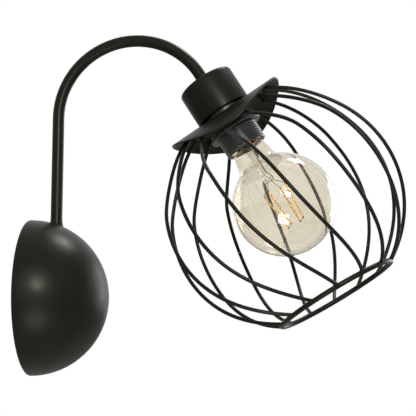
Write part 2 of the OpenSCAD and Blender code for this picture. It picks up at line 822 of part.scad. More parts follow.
// Outside of the glass neck down to height low, made smaller by inset
module neck_form(inset, low) {
    rotate_extrude() polygon([
        [0, glass_top_s], [glass_end_r - inset, glass_top_s], [glass_end_r - inset, shoulder_from_s],
        [shoulder_r - inset, shoulder_s], [neck_r - inset, neck_s],
        [neck_end_r - inset, neck_end_s], [neck_end_r - inset, low], [0, low]
    ]);
}

// Outside of the globe and of the hollow blend into the neck, made smaller by inset
module globe_form(inset) {
    fillet_r = neck_fillet_r + inset;
    translate([0, 0, globe_s]) sphere(r = globe_r - inset);
    translate([0, 0, neck_end_s]) rotate_extrude() difference() {
        translate([0, -1]) square([neck_end_r - inset + blend_w, neck_fillet_r + 1]);
        translate([neck_end_r - inset + fillet_r, 0]) circle(r = fillet_r);
    }
}

// Upper end of the blown glass, melted to the stem inside the cap
module bulb_neck() {
    color(glass_tint) lamp() difference() {
        neck_form(0, neck_end_s);
        neck_form(glass_t, neck_end_s + 1);
        translate([0, 0, glass_top_s - 1]) cylinder(r = glass_end_r - glass_t, h = 3);
    }
}

// Globe, from the end of the neck on
module bulb_glass() {
    color(glass_tint) lamp() difference() {
        intersection() {
            globe_form(0);
            translate([0, 0, neck_end_s]) cylinder(r = globe_r + 1, h = 2 * globe_r);
        }
        globe_form(glass_t);
    }
}

module bulb_stem() {
    color(glass_tint) lamp() {
        translate([0, 0, stem_flare_s]) cylinder(r = glass_end_r - glass_t, h = stem_rim_h);
        translate([0, 0, stem_flare_s + stem_rim_h])
            cylinder(r1 = glass_end_r - glass_t, r2 = stem_r, h = stem_top_s - stem_flare_s - stem_rim_h);
        translate([0, 0, stem_top_s]) cylinder(r = stem_r, h = press_s - stem_top_s);
        translate([-press_w / 2, -press_t / 2, press_s - 1]) cube([press_w, press_t, press_end_s - press_s + 1]);
    }
}

// Position of a filament's end: number 0 to 3, share 0 at the top and 1 at the bottom
function filament_end(number, share) =
    let(
        turned = filament_turn + 90 * number,
        r = share == 0 ? filament_top_r : filament_low_r
    )
    [-r * cos(turned), r * sin(turned), filament_top_s + share * filament_h];

function filament_down(number) = unit(filament_end(number, 1) - filament_end(number, 0));

// Wires from the stem to the filaments' upper ends, ferrules, and links between the lower ends
module bulb_supports() {
    color(steel_plain) lamp() {
        for (number = [0 : 3]) {
            top = filament_end(number, 0);
            low = filament_end(number, 1);
            down = filament_down(number);
            pin = [top[0] * 0.4, 0, press_end_s];
            translate(pin) cylinder(r = ferrule_r, h = pin_h);
            rod(pin + [0, 0, 0.9], top - support_hold * down, support_r);
            rod(top, top - ferrule_h * down, ferrule_r);
            rod(low + ferrule_h * down, low, ferrule_r);
        }
        for (number = [0, 2])
            rod(filament_end(number, 1) + support_hold * filament_down(number),
                filament_end(number + 1, 1) + support_hold * filament_down(number + 1), support_r);
    }
}

module bulb_filaments() {
    color([0.95, 0.60, 0.20]) lamp() for (number = [0 : 3])
        rod(filament_end(number, 0), filament_end(number, 1), filament_r);
}

// ---- Drawing ----

dome_canopy();
wall_strap();
canopy_set_screws();
earth_screw();
terminal_block();
terminal_clamps();
terminal_screws();
arm_tube();
arm_collar();
arm_wedge_washer();
arm_earth_tag();
arm_lock_nut();
live_lead();
neutral_lead();
earth_lead();
holder_cup();
cup_lock_nut();
holder_cap();
holder_skirt();
holder_insert();
holder_terminals();
screw_shell();
centre_contact();
side_contact();
shade_ring();
shade_ring_flange();
cage_plate();
cage_hoop();
bulb_cap();
bulb_cap_insulator();
bulb_cap_contact();
bulb_neck();
bulb_glass();
bulb_stem();
bulb_supports();
bulb_filaments();
for (k = [1 : wire_count]) cage_wire(k);
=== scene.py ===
# %% [markdown]
# # A cage wall light
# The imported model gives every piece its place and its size. This script dresses it:
# it builds the smooth, visible pieces round those places, gives each one the finish
# of its real material, and sets a plain studio round the light.

# %% The frame
import json
import math

import bmesh
import bpy
from mathutils import Matrix, Vector

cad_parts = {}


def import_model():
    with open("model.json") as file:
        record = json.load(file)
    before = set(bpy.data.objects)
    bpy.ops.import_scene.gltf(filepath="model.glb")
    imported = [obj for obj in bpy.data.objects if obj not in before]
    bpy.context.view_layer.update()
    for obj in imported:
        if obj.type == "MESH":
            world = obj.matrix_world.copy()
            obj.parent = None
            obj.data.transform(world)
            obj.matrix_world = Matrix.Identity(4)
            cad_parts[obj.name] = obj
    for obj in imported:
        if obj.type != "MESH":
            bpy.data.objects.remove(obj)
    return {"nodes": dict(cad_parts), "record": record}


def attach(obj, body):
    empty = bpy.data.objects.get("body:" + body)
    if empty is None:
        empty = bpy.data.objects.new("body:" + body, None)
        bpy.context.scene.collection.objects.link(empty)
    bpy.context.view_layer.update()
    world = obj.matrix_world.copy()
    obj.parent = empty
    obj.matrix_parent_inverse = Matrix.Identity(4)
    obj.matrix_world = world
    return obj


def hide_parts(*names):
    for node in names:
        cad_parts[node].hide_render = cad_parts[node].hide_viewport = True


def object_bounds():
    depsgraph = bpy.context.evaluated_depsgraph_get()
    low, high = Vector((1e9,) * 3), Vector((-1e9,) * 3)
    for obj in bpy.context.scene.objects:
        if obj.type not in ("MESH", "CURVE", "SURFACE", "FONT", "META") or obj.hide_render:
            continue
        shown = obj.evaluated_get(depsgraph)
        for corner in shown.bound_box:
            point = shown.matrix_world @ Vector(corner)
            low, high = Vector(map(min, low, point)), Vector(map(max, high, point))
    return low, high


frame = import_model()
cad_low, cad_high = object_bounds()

print("nodes in the frame:", len(frame["nodes"]))

# %% [markdown]
# ## Sizes
# All sizes are real ones in millimetres, and one factor turns them to Blender's
# metres. The lamp has its own frame: its Z axis starts where the arm's bend ends and
# runs down through the holder, the bulb and the cage. Heights along it are called s.

# %% Sizes of the light
MM = 0.001

ARM_X = 22.3
ARM_RISE = 169.4
BEND_R = 72.4
LAMP_TILT = math.radians(32.4)
ARM_R = 5.5
ARM_WALL = 1.25
NECK_R = 4.95
ARM_LOW_Z = 51.7
DOME_R = 72.0
DOME_WALL = 1.2
SCREW_X = 7.0
CUP_R = 26.7
CUP_TOP_S = 9.6
CUP_RIM_S = 44.5
ARM_TOP_S = 20.6
SKIRT_R = 20.0
MOUTH_S = 84.0
PLATE_R = 58.0
PLATE_T = 1.5
PLATE_BEND_R = 85.0
PLATE_TURN = math.radians(5)
PLATE_S = 44.8
PLATE_HOLE_R = 20.5
GLOBE_R = 47.5
GLOBE_S = 147.1

LAMP_ORIGIN = Vector(
    (
        ARM_X + BEND_R * (1 + math.cos(LAMP_TILT)),
        0,
        ARM_RISE + BEND_R * math.sin(LAMP_TILT),
    )
)
LAMP_X = Vector((-math.cos(LAMP_TILT), 0, -math.sin(LAMP_TILT)))
LAMP_Z = Vector((math.sin(LAMP_TILT), 0, -math.cos(LAMP_TILT)))


def in_lamp(point):
    """A point of the lamp's own frame, in the frame of the whole light, both in mm."""
    x, y, s = point
    return LAMP_ORIGIN + x * LAMP_X + Vector((0, y, 0)) + s * LAMP_Z


def in_metres(point):
    return Vector(point) * MM


print("lamp axis starts at", [round(v, 1) for v in LAMP_ORIGIN])

# %% [markdown]
# ## Helpers for nodes and colours
# A finish is a small tree of shader nodes. One function adds a node, sets its values
# and makes its links, so that each finish below reads as a short list. Colours are
# written as the eye knows them, in sRGB hex, and turned to linear values here.


# %% Node and colour helpers
def linear(hex_colour):
    """sRGB hex to the linear colour that a shader takes."""
    channels = [int(hex_colour[i : i + 2], 16) / 255 for i in (1, 3, 5)]
    return [c / 12.92 if c < 0.04045 else ((c + 0.055) / 1.055) ** 2.4 for c in channels] + [1.0]


def add_node(tree, kind, settings=None, values=None, links=None):
    """Adds a node. settings are its properties, values its input values, links its inputs' sources."""
    made = tree.nodes.new(kind)
    for name, value in (settings or {}).items():
        setattr(made, name, value)
    for name, value in (values or {}).items():
        made.inputs[name].default_value = value
    for name, source in (links or {}).items():
        tree.links.new(source, made.inputs[name])
    return made


def new_material(name):
    """An empty material with its output node, and the object's own coordinates."""
    material = bpy.data.materials.new(name)
    material.use_nodes = True
    material.node_tree.nodes.clear()
    tree = material.node_tree
    output = add_node(tree, "ShaderNodeOutputMaterial")
    place = add_node(tree, "ShaderNodeTexCoord").outputs["Object"]
    return material, tree, output, place


def per_mm(size):
    """Texture scale at which a noise pattern's grain is about this many millimetres wide."""
    return 1 / (size * MM)


# %% [markdown]
# ## Powder-coated steel
# The canopy, the arm, the cup, the plate and the wires are steel with a matt black
# powder coat. Powder melts into a skin with a shallow orange peel under a millimetre
# wide, which spreads every reflection into a soft grey sheen with a trace of olive. A
# second, broader noise varies the sheen a little, as uneven thickness does. An image of
# a coated sheet could serve too, but a noise has no seams and keeps its size anywhere.


# %% Powder coat
PEEL_MM = 0.7
PEEL_DEPTH_MM = 0.05
UNEVEN_MM = 18


def powder_coat():
    material, tree, output, place = new_material("matt_black_powder_coat")
    peel = add_node(
        tree,
        "ShaderNodeTexNoise",
        values={"Scale": per_mm(PEEL_MM), "Detail": 3.0, "Roughness": 0.55},
        links={"Vector": place},
    )
    cloud = add_node(
        tree,
        "ShaderNodeTexNoise",
        values={"Scale": per_mm(UNEVEN_MM), "Detail": 2.0},
        links={"Vector": place},
    )
    tone = add_node(
        tree,
        "ShaderNodeMix",
        settings={"data_type": "RGBA"},
        values={"A": linear("#0e0f0b"), "B": linear("#13140f")},
        links={"Factor": cloud.outputs["Fac"]},
    )
    gloss = add_node(
        tree,
        "ShaderNodeMapRange",
        values={"From Min": 0.3, "From Max": 0.7, "To Min": 0.32, "To Max": 0.40},
        links={"Value": cloud.outputs["Fac"]},
    )
    skin = add_node(
        tree,
        "ShaderNodeBump",
        values={"Strength": 0.12, "Distance": PEEL_DEPTH_MM * MM},
        links={"Height": peel.outputs["Fac"]},
    )
    shader = add_node(
        tree,
        "ShaderNodeBsdfPrincipled",
        values={"IOR": 1.5, "Specular IOR Level": 0.1, "Specular Tint": linear("#fffeea")},
        links={
            "Base Color": tone.outputs["Result"],
            "Roughness": gloss.outputs["Result"],
            "Normal": skin.outputs["Normal"],
        },
    )
    tree.links.new(shader.outputs["BSDF"], output.inputs["Surface"])
    return material


COATED_STEEL = powder_coat()
print("made", COATED_STEEL.name)

# %% [markdown]
# ## Moulded plastics
# The lampholder and its ring are moulded black polyester, a hard plastic that comes
# out of the mould with a fine spark-eroded grain. The same recipe, in other colours,
# serves for the polyamide terminal block, the ivory insert, the leads' insulation and
# the silicone skin of the filaments. One function is enough, because these differ only
# in colour and gloss.


# %% Plastics
GRAIN_MM = 0.35
GRAIN_DEPTH_MM = 0.03
FLOW_MM = 9


def moulded_plastic(name, dark, light, roughness, grain_strength=0.1):
    material, tree, output, place = new_material(name)
    grain = add_node(
        tree,
        "ShaderNodeTexNoise",
        values={"Scale": per_mm(GRAIN_MM), "Detail": 4.0},
        links={"Vector": place},
    )
    flow = add_node(
        tree,
        "ShaderNodeTexNoise",
        values={"Scale": per_mm(FLOW_MM), "Detail": 1.0},
        links={"Vector": place},
    )
    tone = add_node(
        tree,
        "ShaderNodeMix",
        settings={"data_type": "RGBA"},
        values={"A": linear(dark), "B": linear(light)},
        links={"Factor": flow.outputs["Fac"]},
    )
    skin = add_node(
        tree,
        "ShaderNodeBump",
        values={"Strength": grain_strength, "Distance": GRAIN_DEPTH_MM * MM},
        links={"Height": grain.outputs["Fac"]},
    )
    shader = add_node(
        tree,
        "ShaderNodeBsdfPrincipled",
        values={"IOR": 1.52, "Roughness": roughness},
        links={"Base Color": tone.outputs["Result"], "Normal": skin.outputs["Normal"]},
    )
    tree.links.new(shader.outputs["BSDF"], output.inputs["Surface"])
    return material


BLACK_PLASTIC = moulded_plastic("black_moulded_polyester", "#191a17", "#20211d", 0.34)
WHITE_PLASTIC = moulded_plastic("white_polyamide", "#dcdcd2", "#e6e6dd", 0.42)
IVORY_CERAMIC = moulded_plastic("ivory_steatite", "#cfc8b4", "#dcd6c4", 0.55)
BROWN_PVC = moulded_plastic("brown_pvc_insulation", "#4a2c1a", "#553420", 0.38)
BLUE_PVC = moulded_plastic("blue_pvc_insulation", "#1e4490", "#2450a2", 0.38)
GREEN_PVC = moulded_plastic("green_pvc_insulation", "#4f8f2c", "#c8c832", 0.38)
VITRITE = moulded_plastic("black_cap_glass", "#100f12", "#18171b", 0.12, grain_strength=0.02)
PHOSPHOR = moulded_plastic("orange_filament_silicone", "#ffbe48", "#ffd078", 0.45)
print("made plastics, grain in mm:", GRAIN_MM)

# %% [markdown]
# ## Metals
# Drawn brass, zinc-plated steel and aluminium differ mainly in colour and in how fine
# their scratches are. A noise that is squeezed across X and Y gives upright drawing
# lines, and it varies the roughness, so that highlights break up. Modelled scratches
# would cost far more and show no better on pieces as small as these.


# %% Metals
LINE_MM = 0.25
LINE_STRETCH = 14.0
LINE_DEPTH_MM = 0.02


def worked_metal(name, dark, light, roughness):
    material, tree, output, place = new_material(name)
    turned = add_node(
        tree,
        "ShaderNodeMapping",
        values={"Scale": (LINE_STRETCH, LINE_STRETCH, 1.0)},
        links={"Vector": place},
    )
    lines = add_node(
        tree,
        "ShaderNodeTexNoise",
        values={"Scale": per_mm(LINE_MM * LINE_STRETCH), "Detail": 3.0},
        links={"Vector": turned.outputs["Vector"]},
    )
    tone = add_node(
        tree,
        "ShaderNodeMix",
        settings={"data_type": "RGBA"},
        values={"A": linear(dark), "B": linear(light)},
        links={"Factor": lines.outputs["Fac"]},
    )
    gloss = add_node(
        tree,
        "ShaderNodeMapRange",
        values={
            "From Min": 0.3,
            "From Max": 0.7,
            "To Min": roughness * 0.8,
            "To Max": roughness * 1.2,
        },
        links={"Value": lines.outputs["Fac"]},
    )
    skin = add_node(
        tree,
        "ShaderNodeBump",
        values={"Strength": 0.08, "Distance": LINE_DEPTH_MM * MM},
        links={"Height": lines.outputs["Fac"]},
    )
    shader = add_node(
        tree,
        "ShaderNodeBsdfPrincipled",
        values={"Metallic": 1.0},
        links={
            "Base Color": tone.outputs["Result"],
            "Roughness": gloss.outputs["Result"],
            "Normal": skin.outputs["Normal"],
        },
    )
    tree.links.new(shader.outputs["BSDF"], output.inputs["Surface"])
    return material


BRASS = worked_metal("drawn_brass", "#b8893a", "#d9ab55", 0.22)
ZINC_STEEL = worked_metal("zinc_plated_steel", "#a5a8ab", "#c3c6c8", 0.34)
ALUMINIUM = worked_metal("rolled_aluminium", "#b9b7b2", "#d2d0ca", 0.28)
MOLYBDENUM = worked_metal("molybdenum_wire", "#4e4a46", "#6a655f", 0.35)
BLACK_OXIDE = worked_metal("black_oxide_steel", "#26262a", "#34343a", 0.4)
print("made metals, lines in mm:", LINE_MM)

# %% [markdown]
# ## Glass
# The globe is blown soda-lime glass with a light warm tint. The shader takes the square
# root of its colour at each surface, and light crosses four of them, so the colour here
# is the square root of what the eye sees. A very broad, weak bump stands for the slight
# waviness of blown glass. A thin-walled shader would be quicker, but only a real wall
# gives the bright and dark lines along the globe's outline.


# %% Glass
WAVE_MM = 25
WAVE_DEPTH_MM = 0.4
WAVE_STRENGTH = 0.006


def blown_glass(name, tint):
    material, tree, output, place = new_material(name)
    wave = add_node(
        tree,
        "ShaderNodeTexNoise",
        values={"Scale": per_mm(WAVE_MM), "Detail": 1.0},
        links={"Vector": place},
    )
    skin = add_node(
        tree,
        "ShaderNodeBump",
        values={"Strength": WAVE_STRENGTH, "Distance": WAVE_DEPTH_MM * MM},
        links={"Height": wave.outputs["Fac"]},
    )
    shader = add_node(
        tree,
        "ShaderNodeBsdfPrincipled",
        values={
            "Base Color": linear(tint),
            "Roughness": 0.0,
            "IOR": 1.5,
            "Transmission Weight": 1.0,
        },
        links={"Normal": skin.outputs["Normal"]},
    )
    tree.links.new(shader.outputs["BSDF"], output.inputs["Surface"])
    return material


GLOBE_GLASS = blown_glass("warm_soda_lime_glass", "#efeade")
STEM_GLASS = blown_glass("clear_stem_glass", "#fbfaf7")
print("made", GLOBE_GLASS.name, "and", STEM_GLASS.name)

# %% [markdown]
# ## Mesh helpers
# Turned and pressed pieces are profiles swung round an axis. The profile is a closed
# outline of radius and height, with a radius for each corner, because even a sharp
# sheet edge has a small round that catches the light.


# %% Mesh helpers
ARC_STEP = math.radians(18)
SHARP_ANGLE = math.radians(38)
MERGE_M = 1e-7
# A profile that reaches the axis stops this far from it
POLE_R = 0.02


def rounded(corners):
    """Outline through corners (r, z, radius), with each corner replaced by an arc."""
    outline = []
    count = len(corners)
    for i, (r, z, radius) in enumerate(corners):
        here = Vector((r, z))
        before = (Vector(corners[i - 1][:2]) - here).normalized()
        after = (Vector(corners[(i + 1) % count][:2]) - here).normalized()
        if radius == 0:
            outline.append(here)
            continue
        half = before.angle(after) / 2
        centre = here + (before + after).normalized() * radius / math.sin(half)
        start = here + before * radius / math.tan(half) - centre
        turn = start.angle_signed(here + after * radius / math.tan(half) - centre)
        steps = max(2, math.ceil(abs(turn) / ARC_STEP))
        for k in range(steps + 1):
            a = -turn * k / steps
            outline.append(
                centre
                + Vector(
                    (
                        start.x * math.cos(a) - start.y * math.sin(a),
                        start.x * math.sin(a) + start.y * math.cos(a),
                    )
                )
            )
    return [(p.x, p.y) for p in outline]


def finished(name, mesh, material, body, nodes=()):
    """Makes a mesh a piece of the light: smooth, with its finish, its body and what it stands for."""
    mesh.materials.clear()
    mesh.materials.append(material)
    mesh.polygons.foreach_set("use_smooth", [True] * len(mesh.polygons))
    mesh.set_sharp_from_angle(angle=SHARP_ANGLE)
    piece = bpy.data.objects.new(name, mesh)
    bpy.context.scene.collection.objects.link(piece)
    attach(piece, body)
    if nodes:
        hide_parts(*nodes)
    print(f"{name}: {len(mesh.polygons)} faces")
    return piece


def grid_mesh(name, rows, place):
    """Closed surface through rows of points that run round, joined row to row and last to first."""
    shape = bmesh.new()
    rings = [[shape.verts.new(in_metres(place(p))) for p in row] for row in rows]
    for i, ring in enumerate(rings):
        following = rings[(i + 1) % len(rings)]
        for j in range(len(ring)):
            k = (j + 1) % len(ring)
            shape.faces.new((ring[j], ring[k], following[k], following[j]))
    bmesh.ops.remove_doubles(shape, verts=shape.verts, dist=MERGE_M)
    bmesh.ops.recalc_face_normals(shape, faces=shape.faces)
    mesh = bpy.data.meshes.new(name)
    shape.to_mesh(mesh)
    shape.free()
    return mesh


def turned_mesh(name, outline, place, segments=96, radius_at=None):
    """Swings a closed outline of (r, s) round Z. radius_at(r, s, angle) may change each radius."""
    rows = []
    for r, s in outline:
        row = []
        for j in range(segments):
            a = 2 * math.pi * j / segments
            reach = radius_at(r, s, a) if radius_at else r
            row.append((reach * math.cos(a), reach * math.sin(a), s))
        rows.append(row)
    return grid_mesh(name, rows, place)


def along_wall_axis(point):
    """Lays a shape that was turned round Z along X, out of the wall."""
    x, y, z = point
    return (z, x, y)


def on_arm(point):
    x, y, z = point
    return (x + ARM_X, y, z)


def at_screws(point):
    x, y, z = point
    return (x + SCREW_X, y, z)


# %% [markdown]
# ## The canopy
# A half-round cap spun from sheet steel. Its rim is rolled a little, and two set
# screws near the rim hold it to the strap. A swung profile gives both faces of the
# sheet at once, and one long cutter bores both screw holes in a Boolean.


# %% Canopy
DOME_STEPS = 40
# The rolled rim, as distances into the sheet from either face, and heights off the wall
RIM_OUTSIDE = [(0.0, 0.5), (0.2, 0.1), (0.5, 0.0)]
RIM_INSIDE = [(0.3, 0.0), (0.05, 0.15), (0.0, 0.4)]
SCREW_HOLE_R = 2.2
CUTTER_AXIS_R = 0.001
CUTTER_REACH = DOME_R + 8


def dome_arc(radius):
    """Points of a quarter circle from the pole to the rim, without its two ends."""
    angles = [math.pi / 2 * i / DOME_STEPS for i in range(1, DOME_STEPS)]
    return [(radius * math.sin(a), radius * math.cos(a)) for a in angles]


def canopy():
    inner = DOME_R - DOME_WALL
    outline = [(POLE_R, DOME_R)] + dome_arc(DOME_R)
    outline += [(DOME_R - into, off) for into, off in RIM_OUTSIDE]
    outline += [(inner + into, off) for into, off in RIM_INSIDE]
    outline += dome_arc(inner)[::-1] + [(POLE_R, inner)]
    mesh = turned_mesh("canopy", outline, along_wall_axis, segments=160)
    shell = bpy.data.objects.new("canopy_uncut", mesh)
    bpy.context.scene.collection.objects.link(shell)
    rod = [
        (CUTTER_AXIS_R, -CUTTER_REACH),
        (SCREW_HOLE_R, -CUTTER_REACH),
        (SCREW_HOLE_R, CUTTER_REACH),
        (CUTTER_AXIS_R, CUTTER_REACH),
    ]
    hole = turned_mesh("screw_hole", rod, at_screws, segments=32)
    cutter = bpy.data.objects.new("screw_hole", hole)
    bpy.context.scene.collection.objects.link(cutter)
    cut = shell.modifiers.new("holes", "BOOLEAN")
    cut.operation = "DIFFERENCE"
    cut.object = cutter
    cut.solver = "EXACT"
    reached = shell.evaluated_get(bpy.context.evaluated_depsgraph_get())
    result = bpy.data.meshes.new_from_object(reached)
    result.name = "canopy"
    bpy.data.objects.remove(shell)
    bpy.data.objects.remove(cutter)
    return finished("canopy", result, COATED_STEEL, "fixture", ["dome_canopy"])


canopy()

# %% [markdown]
# ## Bars and tubes that follow a path
# The arm, the cage wires, the lower ring, the filaments and the leads are all round
# bars on a path. One Geometry Nodes tree makes them: it sweeps a circle along every
# curve that it is given. The path comes from a formula, so the tree has only the bar's
# own sizes as inputs, and its result is turned into a plain mesh at once. A curve's own
# bevel could do it as well, but one tree with named sizes is easier to use again.


# %% The bar tree
def bar_tree():
    tree = bpy.data.node_groups.new("round_bar_on_path", "GeometryNodeTree")
    tree.interface.new_socket("Path", in_out="INPUT", socket_type="NodeSocketGeometry")
    sizes = {}
    for label, kind, start in (
        ("Bar radius", "NodeSocketFloat", 0.001),
        ("Sides", "NodeSocketInt", 16),
        ("Finish", "NodeSocketMaterial", None),
    ):
        socket = tree.interface.new_socket(label, in_out="INPUT", socket_type=kind)
        if start is not None:
            socket.default_value = start
        sizes[label] = socket.identifier
    tree.interface.new_socket("Bar", in_out="OUTPUT", socket_type="NodeSocketGeometry")
    given = add_node(tree, "NodeGroupInput")
    section = add_node(
        tree,
        "GeometryNodeCurvePrimitiveCircle",
        links={"Radius": given.outputs["Bar radius"], "Resolution": given.outputs["Sides"]},
    )
    swept = add_node(
        tree,
        "GeometryNodeCurveToMesh",
        values={"Fill Caps": True},
        links={"Curve": given.outputs["Path"], "Profile Curve": section.outputs["Curve"]},
    )
    real = add_node(
        tree, "GeometryNodeRealizeInstances", links={"Geometry": swept.outputs["Mesh"]}
    )
    coated = add_node(
        tree,
        "GeometryNodeSetMaterial",
        links={"Geometry": real.outputs["Geometry"], "Material": given.outputs["Finish"]},
    )
    add_node(tree, "NodeGroupOutput", links={"Bar": coated.outputs["Geometry"]})
    return tree, sizes


BAR_TREE, BAR_INPUTS = bar_tree()


def bar_mesh(name, paths, radius, material, sides=16, closed=False):
    """Round bars along paths, each a list of points in mm, as one plain mesh."""
    curve = bpy.data.curves.new(name + "_path", "CURVE")
    curve.dimensions = "3D"
    curve.twist_mode = "MINIMUM"
    for path in paths:
        spline = curve.splines.new("POLY")
        spline.points.add(len(path) - 1)
        for point, place in zip(spline.points, path):
            point.co = (*in_metres(place), 1.0)
        spline.use_cyclic_u = closed
    holder = bpy.data.objects.new(name + "_path", curve)
    bpy.context.scene.collection.objects.link(holder)
    sweep = holder.modifiers.new("sweep", "NODES")
    sweep.node_group = BAR_TREE
    sweep[BAR_INPUTS["Bar radius"]] = radius * MM
    sweep[BAR_INPUTS["Sides"]] = sides
    sweep[BAR_INPUTS["Finish"]] = material
    reached = holder.evaluated_get(bpy.context.evaluated_depsgraph_get())
    mesh = bpy.data.meshes.new_from_object(reached)
    bpy.data.objects.remove(holder)
    shape = bmesh.new()
    shape.from_mesh(mesh)
    bmesh.ops.recalc_face_normals(shape, faces=shape.faces)
    shape.to_mesh(mesh)
    shape.free()
    mesh.name = name
    return mesh


print("bar tree inputs:", sorted(BAR_INPUTS))

# %% [markdown]
# ## The arm
# A steel tube, bent on a mandrel. Its lower end goes through the canopy, so the lowest
# ring of the mesh is moved into the canopy's wall, all round, and no gap shows there.

# %% Arm
BEND_STEPS = 72
ARM_FOOT_Z = 72.5
ARM_FOOT_BAND = 1.0
ARM_INTO_CUP = 0.3


def bend_points(steps, aside=0.0):
    """Points along the arm's bend, from its upright end to the lamp, moved aside along Y."""
    sweep = math.pi - LAMP_TILT
    points = []
    for i in range(steps + 1):
        a = math.pi - sweep * i / steps
        reach = ARM_X + BEND_R + BEND_R * math.cos(a)
        points.append(Vector((reach, aside, ARM_RISE + BEND_R * math.sin(a))))
    return points


def arm():
    low = Vector((ARM_X, 0, ARM_FOOT_Z))
    high = in_lamp((0, 0, CUP_TOP_S + ARM_INTO_CUP))
    mesh = bar_mesh("arm", [[low] + bend_points(BEND_STEPS) + [high]], ARM_R, COATED_STEEL, sides=40)
    seat = DOME_R - DOME_WALL / 2
    for vertex in mesh.vertices:
        x, y, z = vertex.co / MM
        if z < ARM_FOOT_Z + ARM_FOOT_BAND:
            vertex.co.z = math.sqrt(seat**2 - x**2 - y**2) * MM
    return finished("arm", mesh, COATED_STEEL, "fixture", ["arm_tube"])


arm()

# %% [markdown]
# ## The arm's threads
# Both ends of the tube are turned down and threaded. A screw modifier could wind a
# ridge, but its ends need trimming. Here a thread is a turned profile whose radius also
# depends on the angle, so that each ridge climbs one pitch a turn and fades at its ends.


# %% Threads
def thread_wave(s, angle, pitch, flat=0.5):
    """Height of a thread's ridge from 0 to 1, with flanks and a flat crest and root."""
    phase = (s / pitch - angle / (2 * math.pi)) % 1.0
    height = abs(2 * phase - 1)
    return min(1.0, max(0.0, (height - 0.5) / flat + 0.5))


def fade(s, low, high, length):
    """1 inside a stretch, falling to 0 over a length at both ends."""
    return min(1.0, max(0.0, (s - low) / length)) * min(1.0, max(0.0, (high - s) / length))


def thread_rows(low, high, pitch, samples=10):
    count = round((high - low) / pitch * samples)
    return [low + (high - low) * i / count for i in range(count + 1)]


ARM_THREAD_PITCH = 1.0
ARM_THREAD_DEPTH = 0.55
ARM_THREAD_FADE = 0.6
ARM_THREAD_HIGH_Z = 69.0


def arm_thread(name, low, high, place):
    bore = ARM_R - ARM_WALL
    outline = [(bore, low + 0.01)]
    outline += [(NECK_R, s) for s in thread_rows(low, high, ARM_THREAD_PITCH)]
    outline += [(bore, high)]

    def radius_at(r, s, angle):
        if r == bore:
            return r
        ridge = thread_wave(s, angle, ARM_THREAD_PITCH)
        return r - ARM_THREAD_DEPTH * (1 - ridge) * fade(s, low - 0.2, high + 1, ARM_THREAD_FADE)

    return turned_mesh(name, outline, place, segments=48, radius_at=radius_at)


def arm_threads():
    lower = arm_thread("arm_thread_low", ARM_LOW_Z, ARM_THREAD_HIGH_Z, on_arm)
    upper = arm_thread("arm_thread_high", CUP_TOP_S, ARM_TOP_S, in_lamp)
    finished("arm_thread_low", lower, ZINC_STEEL, "fixture")
    finished("arm_thread_high", upper, ZINC_STEEL, "fixture")


arm_threads()

# %% [markdown]
# ## Collar and cup
# A small foot flares the tube out onto the canopy. The cup is drawn from sheet, with
# a round upper edge, and hides the lampholder's cap and wiring. Both are turned
# profiles. The foot's points are then lifted onto the canopy's sphere, where a Boolean
# would leave a ragged edge.


# %% Collar and cup
COLLAR_LOW_Z = 63.5
COLLAR_HIGH_Z = 71.5
COLLAR_STEPS = 8
COLLAR_BORE_R = ARM_R + 0.02
COLLAR_LIP = 0.25
COLLAR_FLARE = 2.3
COLLAR_CURVE = 2.2
COLLAR_SUNK = 0.1
CUP_WALL = 1.0
CUP_ROUND = 3.0
CUP_INNER_ROUND = 2.0
CUP_EDGE_ROUND = 0.35
CUP_HOLE_R = NECK_R + 0.1
CUP_HOLE_ROUND = 0.2


def collar():
    outline = [(COLLAR_BORE_R, COLLAR_HIGH_Z)]
    for i in range(COLLAR_STEPS + 1):
        share = i / COLLAR_STEPS
        reach = ARM_R + COLLAR_LIP + COLLAR_FLARE * share**COLLAR_CURVE
        outline.append((reach, COLLAR_HIGH_Z - (COLLAR_HIGH_Z - COLLAR_LOW_Z) * share))
    outline.append((COLLAR_BORE_R, COLLAR_LOW_Z))
    mesh = turned_mesh("arm_collar_foot", outline, on_arm, segments=64)
    for vertex in mesh.vertices:
        x, y, z = vertex.co / MM
        surface = math.sqrt((DOME_R - COLLAR_SUNK) ** 2 - x**2 - y**2)
        vertex.co.z = max(z, surface) * MM
    shape = bmesh.new()
    shape.from_mesh(mesh)
    bmesh.ops.dissolve_degenerate(shape, edges=shape.edges, dist=1e-6)
    shape.to_mesh(mesh)
    shape.free()
    return finished("collar", mesh, COATED_STEEL, "fixture", ["arm_collar"])


def cup():
    outline = rounded(
        [
            (CUP_HOLE_R, CUP_TOP_S, CUP_HOLE_ROUND),
            (CUP_R, CUP_TOP_S, CUP_ROUND),
            (CUP_R, CUP_RIM_S, CUP_EDGE_ROUND),
            (CUP_R - CUP_WALL, CUP_RIM_S, CUP_EDGE_ROUND),
            (CUP_R - CUP_WALL, CUP_TOP_S + CUP_WALL, CUP_INNER_ROUND),
            (CUP_HOLE_R, CUP_TOP_S + CUP_WALL, CUP_HOLE_ROUND),
        ]
    )
    mesh = turned_mesh("cup", outline, in_lamp, segments=128)
    return finished("cup", mesh, COATED_STEEL, "fixture", ["holder_cup"])


collar()
cup()

# %% [markdown]
# ## The cage plate
# A round plate bent to a cylinder like a roof, with a hole for the lampholder. Seen
# along the lamp axis its outline stays round, and a bend modifier would draw its sides
# in. So a rounded slab section is swung round the hole, and a formula then sets each
# point's height from its distance to the ridge.


# %% Cage plate
PLATE_EDGE_ROUND = 0.45
# Only the section's two long faces need points between their corners
PLATE_RADIAL_STEPS = 16
PLATE_LONG_RUN = 10


def plate_height(across, depth):
    """Height s of the plate at a distance from its ridge, at a depth below its top face."""
    return PLATE_S + PLATE_BEND_R - math.sqrt((PLATE_BEND_R - depth) ** 2 - across**2)


